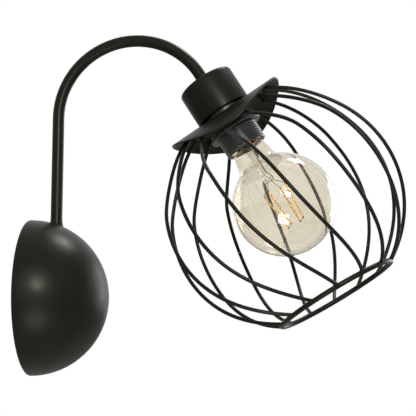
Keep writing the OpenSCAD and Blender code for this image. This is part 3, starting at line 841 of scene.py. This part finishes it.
def bent_plate():
    outline = rounded(
        [
            (PLATE_HOLE_R, 0, PLATE_EDGE_ROUND),
            (PLATE_R, 0, PLATE_EDGE_ROUND),
            (PLATE_R, PLATE_T, PLATE_EDGE_ROUND),
            (PLATE_HOLE_R, PLATE_T, PLATE_EDGE_ROUND),
        ]
    )
    dense = []
    for i, (r, depth) in enumerate(outline):
        far, far_depth = outline[(i + 1) % len(outline)]
        steps = PLATE_RADIAL_STEPS if abs(far - r) > PLATE_LONG_RUN else 1
        for k in range(steps):
            dense.append((r + (far - r) * k / steps, depth + (far_depth - depth) * k / steps))

    def place(point):
        x, y, depth = point
        across = y * math.cos(PLATE_TURN) - x * math.sin(PLATE_TURN)
        return in_lamp((x, y, plate_height(across, depth)))

    mesh = turned_mesh("plate", dense, place, segments=160)
    return finished("plate", mesh, COATED_STEEL, "cage", ["cage_plate"])


bent_plate()

# %% [markdown]
# ## The cage wires
# Fourteen equal wires leave the plate's underside, swing out and turn round the lamp
# axis as they run down to the ring. In the lamp's own frame one wire is a radius, a
# height and a turn, all functions of one angle, and the others are copies turned by
# a fourteenth of a circle. The bar tree sweeps them all in one go.

# %% Cage wire paths
WIRE_COUNT = 14
WIRE_R = 1.7
HOOP_WIRE_R = 2.3
WIRE_START_R = 40.0
CAGE_R = 108.6
CAGE_MID = 151.6
CAGE_UPPER_H = 106.3
CAGE_LOWER_H = 105.1
END_ANGLE = 148.5
JOIN_ANGLE = 65.0
TWIST = 43.3
TWIST_BOW = 2.5
TWIST_EASE = -3.5
FIRST_WIRE = -72.7
LEAN = 1.5
LEAN_FROM_S = PLATE_S + 15
LEAN_SPAN = 50
WELD_GAP = 0.15
EDGE_GAP = 1.2
EDGE_GAP_STEEP = 2.0
EDGE_SHARE = 0.28
RIM_CLEAR = 2
JOIN_HANDLE = 20
WIRE_STATIONS = 130
# A wire stops short of the ring's centre line by the ring, the gap and part of itself
WIRE_BACK = HOOP_WIRE_R + WELD_GAP + 0.3 * WIRE_R
START_ANGLE = math.degrees(math.asin(WIRE_START_R / CAGE_R))
WIRE_END_ANGLE = END_ANGLE - math.degrees(math.asin(WIRE_BACK / CAGE_LOWER_H))


def sin_deg(angle):
    return math.sin(math.radians(angle))


def cos_deg(angle):
    return math.cos(math.radians(angle))


def leaned(point):
    """The cage leans a little against the plate: not at the plate, fully further down."""
    x, y, s = point
    share = min(1.0, max(0.0, (s - LEAN_FROM_S) / LEAN_SPAN))
    lean = LEAN * share * share * (3 - 2 * share)
    drop = s - LEAN_FROM_S
    return (
        x * cos_deg(lean) + drop * sin_deg(lean),
        y,
        LEAN_FROM_S + drop * cos_deg(lean) - x * sin_deg(lean),
    )


def curve_at(angle):
    """Radius and height of the cage's curve at an angle from its top."""
    half_height = CAGE_UPPER_H if angle < 90 else CAGE_LOWER_H
    return Vector((CAGE_R * sin_deg(angle), CAGE_MID - half_height * cos_deg(angle)))


def below_plate(across, off):
    """Height s of a point that lies off the plate's underside, at a distance from its ridge."""
    slope = math.asin(across / (PLATE_BEND_R - PLATE_T))
    return plate_height(across, PLATE_T) + off / math.cos(slope)


def off_ridge(turned):
    """How far off the plate's ridge a wire is, from 0 on the ridge to 1 square to it."""
    return abs(math.cos(math.radians(turned) + PLATE_TURN))


def wire_profile(angle, start_off, rim_off):
    """Radius and height of a wire's centre line at an angle of the cage's curve."""
    if angle >= JOIN_ANGLE:
        return curve_at(angle)
    start = Vector((WIRE_START_R, below_plate(WIRE_START_R * start_off, WIRE_R + WELD_GAP)))
    rim_gap = EDGE_GAP + EDGE_GAP_STEEP * rim_off
    edge = Vector((PLATE_R + RIM_CLEAR, below_plate(PLATE_R * rim_off, WIRE_R + rim_gap)))
    join = curve_at(JOIN_ANGLE)
    run = Vector((CAGE_R * cos_deg(JOIN_ANGLE), CAGE_UPPER_H * sin_deg(JOIN_ANGLE))).normalized()
    u = (angle - START_ANGLE) / (JOIN_ANGLE - START_ANGLE)
    return (
        (1 - u) ** 3 * start
        + 3 * (1 - u) ** 2 * u * edge
        + 3 * (1 - u) * u**2 * (join - JOIN_HANDLE * run)
        + u**3 * join
    )


def wire_turn(last, angle):
    """Turn of a wire round the lamp axis at an angle of the cage's curve."""
    t = (angle - START_ANGLE) / (END_ANGLE - START_ANGLE)
    return last - TWIST * (1 - t) - TWIST_BOW * sin_deg(180 * t) - TWIST_EASE * sin_deg(360 * t)


def wire_path(number):
    last = 360 * number / WIRE_COUNT + FIRST_WIRE
    rim_angle = START_ANGLE + EDGE_SHARE * (JOIN_ANGLE - START_ANGLE)
    start_off = off_ridge(wire_turn(last, START_ANGLE))
    rim_off = off_ridge(wire_turn(last, rim_angle))
    path = []
    for i in range(WIRE_STATIONS + 1):
        angle = START_ANGLE + (WIRE_END_ANGLE - START_ANGLE) * i / WIRE_STATIONS
        turned = wire_turn(last, angle)
        reach, s = wire_profile(angle, start_off, rim_off)
        path.append(in_lamp(leaned((-reach * sin_deg(turned), -reach * cos_deg(turned), s))))
    return path


WIRE_PATHS = [wire_path(k) for k in range(WIRE_COUNT)]
FIRST_PATH = WIRE_PATHS[0]
print("wire length, mm:", round(sum((b - a).length for a, b in zip(FIRST_PATH, FIRST_PATH[1:]))))

# %% Cage wires and lower ring
HOOP_POINTS = 160


def cage():
    wires = bar_mesh("wires", WIRE_PATHS, WIRE_R, COATED_STEEL, sides=16)
    finished(
        "wires",
        wires,
        COATED_STEEL,
        "cage",
        [f"cage_wire_{k + 1}" for k in range(WIRE_COUNT)],
    )
    reach, s = curve_at(END_ANGLE)
    ring = []
    for i in range(HOOP_POINTS):
        a = 2 * math.pi * i / HOOP_POINTS
        ring.append(in_lamp(leaned((reach * math.cos(a), reach * math.sin(a), s))))
    hoop = bar_mesh("hoop", [ring], HOOP_WIRE_R, COATED_STEEL, sides=24, closed=True)
    finished("hoop", hoop, COATED_STEEL, "cage", ["cage_hoop"])


cage()

# %% [markdown]
# ## Weld beads
# Each wire is welded under the plate and on the ring, and the coat covers the welds. A
# bead shows only at the ring. A second tree sets a small, slightly uneven bead there on
# the end of every wire. Its points come from the wires' own paths, so the beads follow
# when the cage changes.

# %% Weld beads
BEAD_R = 2.0
BEAD_AHEAD = 0.5
BEAD_UNEVEN = (0.85, 1.1)


def bead_tree():
    tree = bpy.data.node_groups.new("bead_on_points", "GeometryNodeTree")
    tree.interface.new_socket("Points", in_out="INPUT", socket_type="NodeSocketGeometry")
    radius = tree.interface.new_socket("Bead radius", in_out="INPUT", socket_type="NodeSocketFloat")
    finish = tree.interface.new_socket("Finish", in_out="INPUT", socket_type="NodeSocketMaterial")
    tree.interface.new_socket("Beads", in_out="OUTPUT", socket_type="NodeSocketGeometry")
    given = add_node(tree, "NodeGroupInput")
    bead = add_node(
        tree,
        "GeometryNodeMeshIcoSphere",
        values={"Subdivisions": 3},
        links={"Radius": given.outputs["Bead radius"]},
    )
    uneven = add_node(
        tree,
        "FunctionNodeRandomValue",
        settings={"data_type": "FLOAT_VECTOR"},
        values={"Min": (BEAD_UNEVEN[0],) * 3, "Max": (BEAD_UNEVEN[1],) * 3, "Seed": 7},
    )
    placed = add_node(
        tree,
        "GeometryNodeInstanceOnPoints",
        links={
            "Points": given.outputs["Points"],
            "Instance": bead.outputs["Mesh"],
            "Scale": uneven.outputs["Value"],
        },
    )
    real = add_node(
        tree, "GeometryNodeRealizeInstances", links={"Geometry": placed.outputs["Instances"]}
    )
    coated = add_node(
        tree,
        "GeometryNodeSetMaterial",
        links={"Geometry": real.outputs["Geometry"], "Material": given.outputs["Finish"]},
    )
    add_node(tree, "NodeGroupOutput", links={"Beads": coated.outputs["Geometry"]})
    return tree, radius.identifier, finish.identifier


def weld_beads():
    tree, radius, finish = bead_tree()
    points = bpy.data.meshes.new("weld_points")
    welds = []
    for path in WIRE_PATHS:
        welds.append(in_metres(path[-1] + (path[-1] - path[-2]).normalized() * BEAD_AHEAD))
    points.from_pydata(welds, [], [])
    holder = bpy.data.objects.new("weld_points", points)
    bpy.context.scene.collection.objects.link(holder)
    beads = holder.modifiers.new("beads", "NODES")
    beads.node_group = tree
    beads[radius] = BEAD_R * MM
    beads[finish] = COATED_STEEL
    reached = holder.evaluated_get(bpy.context.evaluated_depsgraph_get())
    mesh = bpy.data.meshes.new_from_object(reached)
    bpy.data.objects.remove(holder)
    finished("weld_beads", mesh, COATED_STEEL, "cage")


weld_beads()

# %% [markdown]
# ## The lampholder
# The skirt carries a coarse outside thread for the shade ring. The ring is moulded
# with grip grooves and a flange. The thread's and the grooves' depths are taken off the
# radius as each profile is swung, so both pieces stay one clean mesh with no Boolean.

# %% Skirt and shade ring
SKIRT_PITCH = 2.5
SKIRT_WALL = 2.2
SKIRT_TOP_S = 38.5
SKIRT_PLAIN_S = 49.0
SKIRT_THREAD_LOW = 49.5
SKIRT_THREAD_HIGH = MOUTH_S - 0.8
SKIRT_THREAD_DEPTH = 0.8
SKIRT_THREAD_FADE = 1.2
MOUTH_R = 15.8
MOUTH_LIP = 1.8
MOUTH_ROUND = 0.3
# The skirt's rounded lower edge, as distances in from its outside and up from its mouth
SKIRT_EDGE = [(0.5, 0.25), (0.9, 0.0)]
RING_R = 24.2
RING_FLANGE_R = 25.5
RING_BORE_R = 20.3
RING_GAP = 0.3
RING_H = 15.4
RING_FLANGE_H = 2.6
RING_GROOVES = 36
GROOVE_DEPTH = 0.5


def skirt():
    inner = SKIRT_R - SKIRT_WALL
    top = [(inner, SKIRT_TOP_S, 0.2), (SKIRT_R, SKIRT_TOP_S, 0.3), (SKIRT_R, SKIRT_PLAIN_S, 0)]
    outline = rounded(top)[:-1]
    rows = thread_rows(SKIRT_THREAD_LOW, SKIRT_THREAD_HIGH, SKIRT_PITCH, 12)
    outline += [(SKIRT_R, s) for s in rows]
    outline += [(SKIRT_R - into, MOUTH_S - up) for into, up in SKIRT_EDGE]
    outline += [(MOUTH_R + MOUTH_ROUND, MOUTH_S), (MOUTH_R, MOUTH_S - MOUTH_ROUND)]
    outline += [(MOUTH_R, MOUTH_S - MOUTH_LIP), (inner, MOUTH_S - MOUTH_LIP)]

    def radius_at(r, s, angle):
        if r != SKIRT_R:
            return r
        ridge = thread_wave(s, angle, SKIRT_PITCH)
        strength = fade(s, SKIRT_THREAD_LOW, SKIRT_THREAD_HIGH + 0.6, SKIRT_THREAD_FADE)
        return r - SKIRT_THREAD_DEPTH * ((1 - ridge) * strength)

    mesh = turned_mesh("skirt", outline, in_lamp, segments=112, radius_at=radius_at)
    return finished("skirt", mesh, BLACK_PLASTIC, "fixture", ["holder_skirt"])


def shade_ring():
    top = plate_height(RING_R, PLATE_T) + RING_GAP
    low = top + RING_H
    flange = low - RING_FLANGE_H
    outline = rounded(
        [
            (RING_BORE_R, top, 0.3),
            (RING_R, top, 0.5),
            (RING_R, flange, 0.3),
            (RING_FLANGE_R, flange, 0.5),
            (RING_FLANGE_R, low, 0.7),
            (RING_BORE_R, low, 0.3),
        ]
    )

    def radius_at(r, s, angle):
        if r < RING_R - 0.6 or r > RING_R + 0.05 or s > flange - 0.35:
            return r
        groove = max(0.0, math.cos(RING_GROOVES * angle)) ** 3
        return r - GROOVE_DEPTH * groove * fade(s, top - 0.2, flange, 0.6)

    segments = RING_GROOVES * 8
    mesh = turned_mesh("shade_ring_body", outline, in_lamp, segments, radius_at)
    nodes = ["shade_ring", "shade_ring_flange"]
    return finished("shade_ring_body", mesh, BLACK_PLASTIC, "shade_ring", nodes)


skirt()
shade_ring()

# %% [markdown]
# ## Screw shell and bulb cap
# Both are thin metal rolled with the same round thread of 3.6 mm pitch, so one
# function makes the wave for both. The shell's lower end flares out, which leads the
# bulb in.

# %% Rolled threads
CAP_PITCH = 3.63
ROWS_A_TURN = 12
SHELL_ENDS = (55.6, 82.0)
SHELL_FLARE_S = 78.0
SHELL_FLARE = 2.4
SHELL_ROOT_R = 13.65
SHELL_SHEET = 0.45
SHELL_THREAD = 0.75
CAP_ENDS = (60.1, 81.0)
CAP_ROOT_R = 12.2
CAP_SHEET = 0.4
CAP_TAPER = 1.4
CAP_TAPER_H = 2.5
CAP_THREAD = 0.85


def rolled_wave(s, angle):
    """Height of a round thread's ridge, from 0 to 1."""
    return 0.5 + 0.5 * math.cos(2 * math.pi * (s / CAP_PITCH) - angle)


def screw_shell():
    low, high = SHELL_ENDS
    rows = thread_rows(low, high, CAP_PITCH, ROWS_A_TURN)
    outline = [(SHELL_ROOT_R, s) for s in rows]
    outline += [(SHELL_ROOT_R + SHELL_SHEET, s) for s in reversed(rows)]

    def radius_at(r, s, angle):
        flare = SHELL_FLARE * max(0.0, (s - SHELL_FLARE_S) / (high - SHELL_FLARE_S)) ** 1.5
        ridge = rolled_wave(s, angle)
        return r + flare + SHELL_THREAD * ridge * fade(s, low + 1, SHELL_FLARE_S, 2.0)

    mesh = turned_mesh("shell", outline, in_lamp, segments=72, radius_at=radius_at)
    return finished("shell", mesh, BRASS, "fixture", ["screw_shell"])


def bulb_cap():
    low, high = CAP_ENDS
    straight_from = low + CAP_TAPER_H
    rows = thread_rows(straight_from, high, CAP_PITCH, ROWS_A_TURN)
    outline = [(CAP_ROOT_R - CAP_TAPER, low)] + [(CAP_ROOT_R, s) for s in rows]
    outline += [(CAP_ROOT_R - CAP_SHEET, s) for s in reversed(rows)]
    outline += [(CAP_ROOT_R - CAP_TAPER - CAP_SHEET, low)]

    def radius_at(r, s, angle):
        return r + CAP_THREAD * rolled_wave(s, angle) * fade(s, straight_from, high - 0.6, 1.5)

    mesh = turned_mesh("cap", outline, in_lamp, segments=72, radius_at=radius_at)
    return finished("cap", mesh, ALUMINIUM, "bulb", ["bulb_cap"])


screw_shell()
bulb_cap()

# %% [markdown]
# ## The bulb
# The glass is blown in one piece: a neck that widens into the globe over a short
# hollow curve. One profile, outside and inside, is swung round the lamp axis. A sphere
# joined to a tube would show a crease at the neck, where this has a smooth blend.

# %% Bulb glass
GLASS_T = 0.7
GLASS_END_R = 11.4
GLASS_END_S = 75.0
SHOULDER = [(GLASS_END_R, 81.5, 2.0), (15.3, 84.3, 2.5), (16.2, 87.5, 8.0)]
NECK_END = (18.8, 100.46)
GLOBE_JOIN_R = 23.5
BLEND_PULL = 0.4
BLEND_STEPS = 9
GLOBE_STEPS = 48


def glass_outline(inset):
    """Outside of the glass from its open end to its pole, made smaller by inset."""
    globe = GLOBE_R - inset
    corners = [(GLASS_END_R, GLASS_END_S, 0)] + SHOULDER + [(*NECK_END, 0)]
    closing = [(0, NECK_END[1], 0), (0, GLASS_END_S, 0)]
    low = [(r - inset, s) for r, s in rounded(corners + closing)[: -len(closing)]]
    meet = math.asin(GLOBE_JOIN_R / GLOBE_R)
    join = (globe * math.sin(meet), GLOBE_S - globe * math.cos(meet))
    start = Vector(low[-1])
    slope = (Vector(low[-1]) - Vector(low[-2])).normalized()
    tangent = Vector((math.cos(meet), math.sin(meet)))
    span = (Vector(join) - start).length * BLEND_PULL
    blend = []
    for i in range(1, BLEND_STEPS):
        u = i / BLEND_STEPS
        point = (
            (1 - u) ** 3 * start
            + 3 * (1 - u) ** 2 * u * (start + slope * span)
            + 3 * (1 - u) * u**2 * (Vector(join) - tangent * span)
            + u**3 * Vector(join)
        )
        blend.append((point.x, point.y))
    globe_arc = []
    for i in range(GLOBE_STEPS):
        a = meet + (math.pi - meet) * i / GLOBE_STEPS
        globe_arc.append((globe * math.sin(a), GLOBE_S - globe * math.cos(a)))
    return low + blend + globe_arc + [(POLE_R, GLOBE_S + globe)]


def bulb_glass():
    outline = glass_outline(0) + glass_outline(GLASS_T)[::-1]
    mesh = turned_mesh("glass", outline, in_lamp, segments=160)
    return finished("glass", mesh, GLOBE_GLASS, "bulb", ["bulb_glass", "bulb_neck"])


bulb_glass()

# %% [markdown]
# ## Stem and filaments
# Inside, a flared glass stem carries the wires, and its end is pressed flat round them.
# Four filament sticks hang from it: thin rods in orange silicone, each with a metal
# ferrule at both ends. The links between their lower ends close the circuit. The stem
# is turned and then squeezed, and the rest are bars from the same tree as the cage's.

# %% Stem and filaments
FILAMENT_R = 0.85
FILAMENT_TOP_S = 131.4
FILAMENT_H = 35.0
FILAMENT_TURN = -26.5
FILAMENT_TOP_R = 12.4
FILAMENT_LOW_R = 9.3
FERRULE_R = 0.6
FERRULE_H = 1.3
FERRULE_BITE = 0.7
SUPPORT_R = 0.3
PIN_SUNK = 4
PIN_OUT = 1
PIN_SPREAD = 0.4
STEM_FOOT_S = 76.0
STEM_FOOT_R = 10.5
STEM_FOOT_H = 0.8
STEM_TUBE_S = 85.0
STEM_TUBE_R = 3.2
PRESS_S = 113.0
PRESS_END_S = 122.0
PRESS_H = 4
PRESS_FLAT_H = 3
PRESS_WIDEN = 0.2
PRESS_THIN = 0.5


def filament_end(number, share):
    """Upper (share 0) or lower (share 1) end of a filament, in the lamp's own frame."""
    angle = FILAMENT_TURN + 90 * number
    reach = FILAMENT_LOW_R if share else FILAMENT_TOP_R
    return Vector((-reach * cos_deg(angle), reach * sin_deg(angle), FILAMENT_TOP_S + share * FILAMENT_H))


def straight(a, b, count=6):
    """Path of a straight bar between two points of the lamp's own frame."""
    a, b = Vector(a), Vector(b)
    return [in_lamp(a + (b - a) * i / (count - 1)) for i in range(count)]


def stem():
    outline = rounded(
        [
            (POLE_R, STEM_FOOT_S, 0),
            (STEM_FOOT_R, STEM_FOOT_S, 0.2),
            (STEM_FOOT_R, STEM_FOOT_S + STEM_FOOT_H, 0.2),
            (STEM_TUBE_R, STEM_TUBE_S, 4.0),
            (STEM_TUBE_R, PRESS_S, 1.5),
            (4.6, PRESS_S + PRESS_H, 1.5),
            (4.4, PRESS_END_S, 1.2),
            (POLE_R, PRESS_END_S, 0),
        ]
    )

    def flattened(point):
        x, y, s = point
        share = min(1.0, max(0.0, (s - PRESS_S) / PRESS_FLAT_H))
        return in_lamp((x * (1 + PRESS_WIDEN * share), y * (1 - PRESS_THIN * share), s))

    mesh = turned_mesh("stem", outline, flattened, segments=48)
    return finished("stem", mesh, STEM_GLASS, "bulb", ["bulb_stem"])


def supports():
    thin, thick = [], []
    for number in range(4):
        top, low = filament_end(number, 0), filament_end(number, 1)
        down = (low - top).normalized()
        pin = Vector((top.x * PIN_SPREAD, 0, PRESS_END_S))
        thick.append(straight(top - FERRULE_H * down, top))
        thick.append(straight(low, low + FERRULE_H * down))
        thin.append(straight(pin - Vector((0, 0, PIN_SUNK)), pin + Vector((0, 0, PIN_OUT))))
        thin.append(straight(pin + Vector((0, 0, PIN_OUT - 0.1)), top - FERRULE_BITE * down))
    for number in (0, 2):
        ends = []
        for k in (number, number + 1):
            top, low = filament_end(k, 0), filament_end(k, 1)
            ends.append(low + FERRULE_BITE * (low - top).normalized())
        thin.append(straight(*ends))
    wires = bar_mesh("support_wires", thin, SUPPORT_R, MOLYBDENUM, sides=8)
    ferrules = bar_mesh("ferrules", thick, FERRULE_R, MOLYBDENUM, sides=12)
    finished("support_wires", wires, MOLYBDENUM, "bulb", ["bulb_supports"])
    finished("ferrules", ferrules, MOLYBDENUM, "bulb")


def filaments():
    sticks = [straight(filament_end(k, 0), filament_end(k, 1)) for k in range(4)]
    mesh = bar_mesh("filaments", sticks, FILAMENT_R, PHOSPHOR, sides=16)
    return finished("filaments", mesh, PHOSPHOR, "bulb", ["bulb_filaments"])


stem()
supports()
filaments()

# %% [markdown]
# ## Inner and hidden pieces
# The strap, the terminal block, nuts and screws have the right shape already. Each
# gets a copy with merged corners and a narrow bevel, because a real stamped or
# moulded edge is never knife-sharp. The table gives each one's finish, its slot in the
# record and its bevel's width in millimetres.

# %% Inner pieces
INNER_PIECES = {
    "wall_strap": (ZINC_STEEL, "zinc_steel", 0.25),
    "canopy_set_screws": (BLACK_OXIDE, "black_screws", 0.15),
    "earth_screw": (BRASS, "brass", 0.2),
    "terminal_block": (WHITE_PLASTIC, "white_plastic", 0.3),
    "terminal_clamps": (BRASS, "brass", 0.1),
    "terminal_screws": (ZINC_STEEL, "zinc_steel", 0.1),
    "arm_wedge_washer": (ZINC_STEEL, "zinc_steel", 0.2),
    "arm_earth_tag": (BRASS, "brass", 0.1),
    "arm_lock_nut": (ZINC_STEEL, "zinc_steel", 0.3),
    "cup_lock_nut": (ZINC_STEEL, "zinc_steel", 0.3),
    "holder_cap": (BLACK_PLASTIC, "black_plastic", 0.3),
    "holder_insert": (IVORY_CERAMIC, "ivory_plastic", 0.3),
    "holder_terminals": (BRASS, "brass", 0.15),
    "centre_contact": (BRASS, "brass", 0.1),
    "side_contact": (BRASS, "brass", 0.1),
    "bulb_cap_insulator": (VITRITE, "cap_insulator", 0.1),
    "bulb_cap_contact": (ALUMINIUM, "bulb_cap_metal", 0.1),
}


def body_of_node(name):
    bodies = frame["record"]["behaviour"]["bodies"]
    return next(body for body, members in bodies.items() if name in members)


BEVEL_ANGLE = math.radians(40)
CORNER_MERGE_M = 1e-6


def dressed_copy(name, material, bevel_mm):
    shape = bmesh.new()
    shape.from_mesh(frame["nodes"][name].data)
    bmesh.ops.remove_doubles(shape, verts=shape.verts, dist=CORNER_MERGE_M)
    mesh = bpy.data.meshes.new(name + "_dressed")
    shape.to_mesh(mesh)
    shape.free()
    holder = bpy.data.objects.new(name + "_plain", mesh)
    bpy.context.scene.collection.objects.link(holder)
    bevel = holder.modifiers.new("edges", "BEVEL")
    bevel.width = bevel_mm * MM
    bevel.segments = 2
    bevel.limit_method = "ANGLE"
    bevel.angle_limit = BEVEL_ANGLE
    reached = holder.evaluated_get(bpy.context.evaluated_depsgraph_get())
    result = bpy.data.meshes.new_from_object(reached)
    bpy.data.objects.remove(holder)
    finished(name + "_dressed", result, material, body_of_node(name), [name])


for node_name, (finish, slot_name, width) in INNER_PIECES.items():
    dressed_copy(node_name, finish, width)

# %% [markdown]
# ## Leads
# Live and neutral run side by side through the tube to the holder, and earth ends at
# the tag on the tube. They leave each clamp straight and then swing over in a cubic
# curve, as a stiff lead does. A simulated rope would hang the same way, but these are
# too short and too confined for it to matter.

# %% Leads
LEAD_R = 1.2
LEAD_OFFSET = 1.9
POLE_PITCH = 8.0
CLAMP_X = 8.3
CLAMP_TOP_Z = 21.0
LEAD_GRIP = Vector((0, 0, 6))
LEAD_LIFT = Vector((0, 0, 12))
LEAD_DROP = Vector((0, 0, 5))
LEAD_END = Vector((0, 0, 2.5))
HOLDER_CLAMP = (9.0, 32.5)
EARTH_TAG = Vector((8.8, 0, 58.4))
EARTH_LEAVE = Vector((2, 0, 13))
EARTH_ARRIVE = Vector((2, 0, -13))


def swing(start, leave, arrive, end, steps):
    """Cubic curve from start to end, with its two handles leave and arrive."""
    curve = []
    for i in range(steps + 1):
        u = i / steps
        curve.append(
            (1 - u) ** 3 * start
            + 3 * (1 - u) ** 2 * u * leave
            + 3 * (1 - u) * u**2 * arrive
            + u**3 * end
        )
    return curve


def mains_route(side):
    """Route of the live lead (side -1) or the neutral lead (side 1), block to holder."""
    start = Vector((CLAMP_X, side * POLE_PITCH, CLAMP_TOP_Z))
    into = Vector((ARM_X, side * LEAD_OFFSET, ARM_LOW_Z - 2))
    route = [start - LEAD_GRIP] + swing(start, start + LEAD_LIFT, into - LEAD_LIFT, into, 24)
    route += bend_points(48, side * LEAD_OFFSET)
    out = Vector((0, side * LEAD_OFFSET, ARM_TOP_S + 1))
    clamp_y, clamp_s = HOLDER_CLAMP
    clamp = Vector((0, side * clamp_y, clamp_s))
    route += [in_lamp(p) for p in swing(out, out + LEAD_DROP, clamp - LEAD_DROP, clamp, 12)]
    return route + [in_lamp(clamp + LEAD_END)]


def earth_route():
    start = Vector((CLAMP_X, 0, CLAMP_TOP_Z))
    leave, arrive = start + EARTH_LEAVE, EARTH_TAG + EARTH_ARRIVE
    return [start - LEAD_GRIP] + swing(start, leave, arrive, EARTH_TAG, 24)


for lead, route, finish, slot_name in (
    ("live_lead", mains_route(-1), BROWN_PVC, "brown_lead"),
    ("neutral_lead", mains_route(1), BLUE_PVC, "blue_lead"),
    ("earth_lead", earth_route(), GREEN_PVC, "green_lead"),
):
    lead_mesh = bar_mesh(lead + "_insulation", [route], LEAD_R, finish, sides=12)
    finished(lead + "_insulation", lead_mesh, finish, "fixture", [lead])

# %% [markdown]
# ## Studio
# The light hangs on a wall that isn't shown, so the studio is a wide pale floor well
# below it, a white background for whatever looks past the object, and a few soft boxes.

# %% Floor
FLOOR_Z = cad_low.z - 0.65
FLOOR_HALF = 20.0


def floor():
    mesh = bpy.data.meshes.new("floor")
    sides = [(-1, -1), (1, -1), (1, 1), (-1, 1)]
    mesh.from_pydata([(x * FLOOR_HALF, y * FLOOR_HALF, FLOOR_Z) for x, y in sides], [], [(0, 1, 2, 3)])
    ground = bpy.data.objects.new("floor", mesh)
    bpy.context.scene.collection.objects.link(ground)
    material, tree, output, _ = new_material("pale_floor")
    paint = add_node(
        tree, "ShaderNodeBsdfPrincipled", values={"Base Color": linear("#e8e8e6"), "Roughness": 0.8}
    )
    tree.links.new(paint.outputs["BSDF"], output.inputs["Surface"])
    mesh.materials.append(material)


floor()
print("floor, m below the light:", round(cad_low.z - FLOOR_Z, 2))

# %% [markdown]
# ## The white surround
# The camera, mirror-like reflections and the glass see a pure white background. What
# lights the object's dull surfaces is a softer, slightly warm white at less than half
# that strength, so that the black coat stays black. One shader could do both jobs, but
# then a white backdrop would also flood the coat with light.

# %% World
SURROUND = 0.45


def world():
    sky = bpy.data.worlds.new("studio")
    bpy.context.scene.world = sky
    sky.use_nodes = True
    tree = sky.node_tree
    tree.nodes.clear()
    rays = add_node(tree, "ShaderNodeLightPath")
    through = add_node(
        tree,
        "ShaderNodeMath",
        settings={"operation": "MAXIMUM"},
        links={0: rays.outputs["Is Camera Ray"], 1: rays.outputs["Is Transmission Ray"]},
    )
    seen = add_node(
        tree,
        "ShaderNodeMath",
        settings={"operation": "MAXIMUM"},
        links={0: through.outputs[0], 1: rays.outputs["Is Glossy Ray"]},
    )
    white = add_node(tree, "ShaderNodeBackground", values={"Color": (1, 1, 1, 1), "Strength": 1.0})
    soft = add_node(tree, "ShaderNodeBackground", values={"Color": linear("#f4f2ec"), "Strength": SURROUND})
    mixed = add_node(
        tree,
        "ShaderNodeMixShader",
        links={0: seen.outputs[0], 1: soft.outputs["Background"], 2: white.outputs["Background"]},
    )
    add_node(tree, "ShaderNodeOutputWorld", links={"Surface": mixed.outputs["Shader"]})


world()
print("surround's strength:", SURROUND)

# %% [markdown]
# ## Soft boxes
# The photograph's highlights tell where its lamps stood. One box above and behind puts
# the bright spot on top of the canopy, one beside the camera gives the soft glow on its
# face and the line down the tube, a low one fills its underside, and one far to the
# right draws its right rim. The first three are small, because the globe mirrors them.


# %% Soft boxes
def soft_box(name, place, target, size, power):
    light = bpy.data.lights.new(name, "AREA")
    light.size = size
    light.energy = power
    lamp = bpy.data.objects.new(name, light)
    lamp.location = place
    lamp.rotation_mode = "QUATERNION"
    lamp.rotation_quaternion = (Vector(target) - Vector(place)).to_track_quat("-Z", "Y")
    bpy.context.scene.collection.objects.link(lamp)


MIDDLE = (0.12, 0.0, 0.08)
soft_box("soft_box_over", (0.45, 0.35, 1.0), MIDDLE, 0.25, 5.8)
soft_box("soft_box_front", (0.6, -1.5, 0.45), MIDDLE, 0.26, 22)
soft_box("soft_box_low", (0.25, -0.60, -0.42), MIDDLE, 0.3, 2.2)
soft_box("soft_box_rim", (0.85, 0.85, 0.25), MIDDLE, 0.6, 4)

# %% [markdown]
# ## Camera
# The camera stands a little below the light and looks up and to the left. Its place,
# turn and focal length were fitted to the outline of the light in the photograph. The
# picture's centre is off the lens's axis, so the lens is shifted rather than turned,
# which keeps the perspective. Focal length and centre are in pixels of the photograph.

# %% Camera
PICTURE = 416
SENSOR_MM = 36
FOCAL_PX = 1405.34
CENTRE_PX = (168.46, 202.38)
CAMERA_AT = Vector((0.32896, -1.2664, -0.10595))
YAW, PITCH, ROLL = (math.radians(a) for a in (-9.02, 8.58, -0.5))


def camera():
    forward = Vector((math.sin(YAW) * math.cos(PITCH), math.cos(YAW) * math.cos(PITCH), math.sin(PITCH)))
    level = Vector((math.cos(YAW), -math.sin(YAW), 0))
    down = forward.cross(level)
    down = -down if down.z > 0 else down
    right = math.cos(ROLL) * level + math.sin(ROLL) * down
    up = math.sin(ROLL) * level - math.cos(ROLL) * down
    lens = bpy.data.cameras.new("camera")
    lens.sensor_width = SENSOR_MM
    lens.lens = lens.sensor_width * FOCAL_PX / PICTURE
    lens.shift_x = (PICTURE / 2 - CENTRE_PX[0]) / PICTURE
    lens.shift_y = (CENTRE_PX[1] - PICTURE / 2) / PICTURE
    eye = bpy.data.objects.new("camera", lens)
    turn = Matrix((right, up, -forward)).transposed().to_4x4()
    eye.matrix_world = Matrix.Translation(CAMERA_AT) @ turn
    bpy.context.scene.collection.objects.link(eye)
    bpy.context.scene.camera = eye
    return lens


CAMERA = camera()
print("lens, mm:", round(CAMERA.lens, 2))
print("shift:", round(CAMERA.shift_x, 4), round(CAMERA.shift_y, 4))

# %% [markdown]
# ## Colour
# The plain Standard view shows each colour as it was written.

# %% Colour
bpy.context.scene.view_settings.view_transform = "Standard"
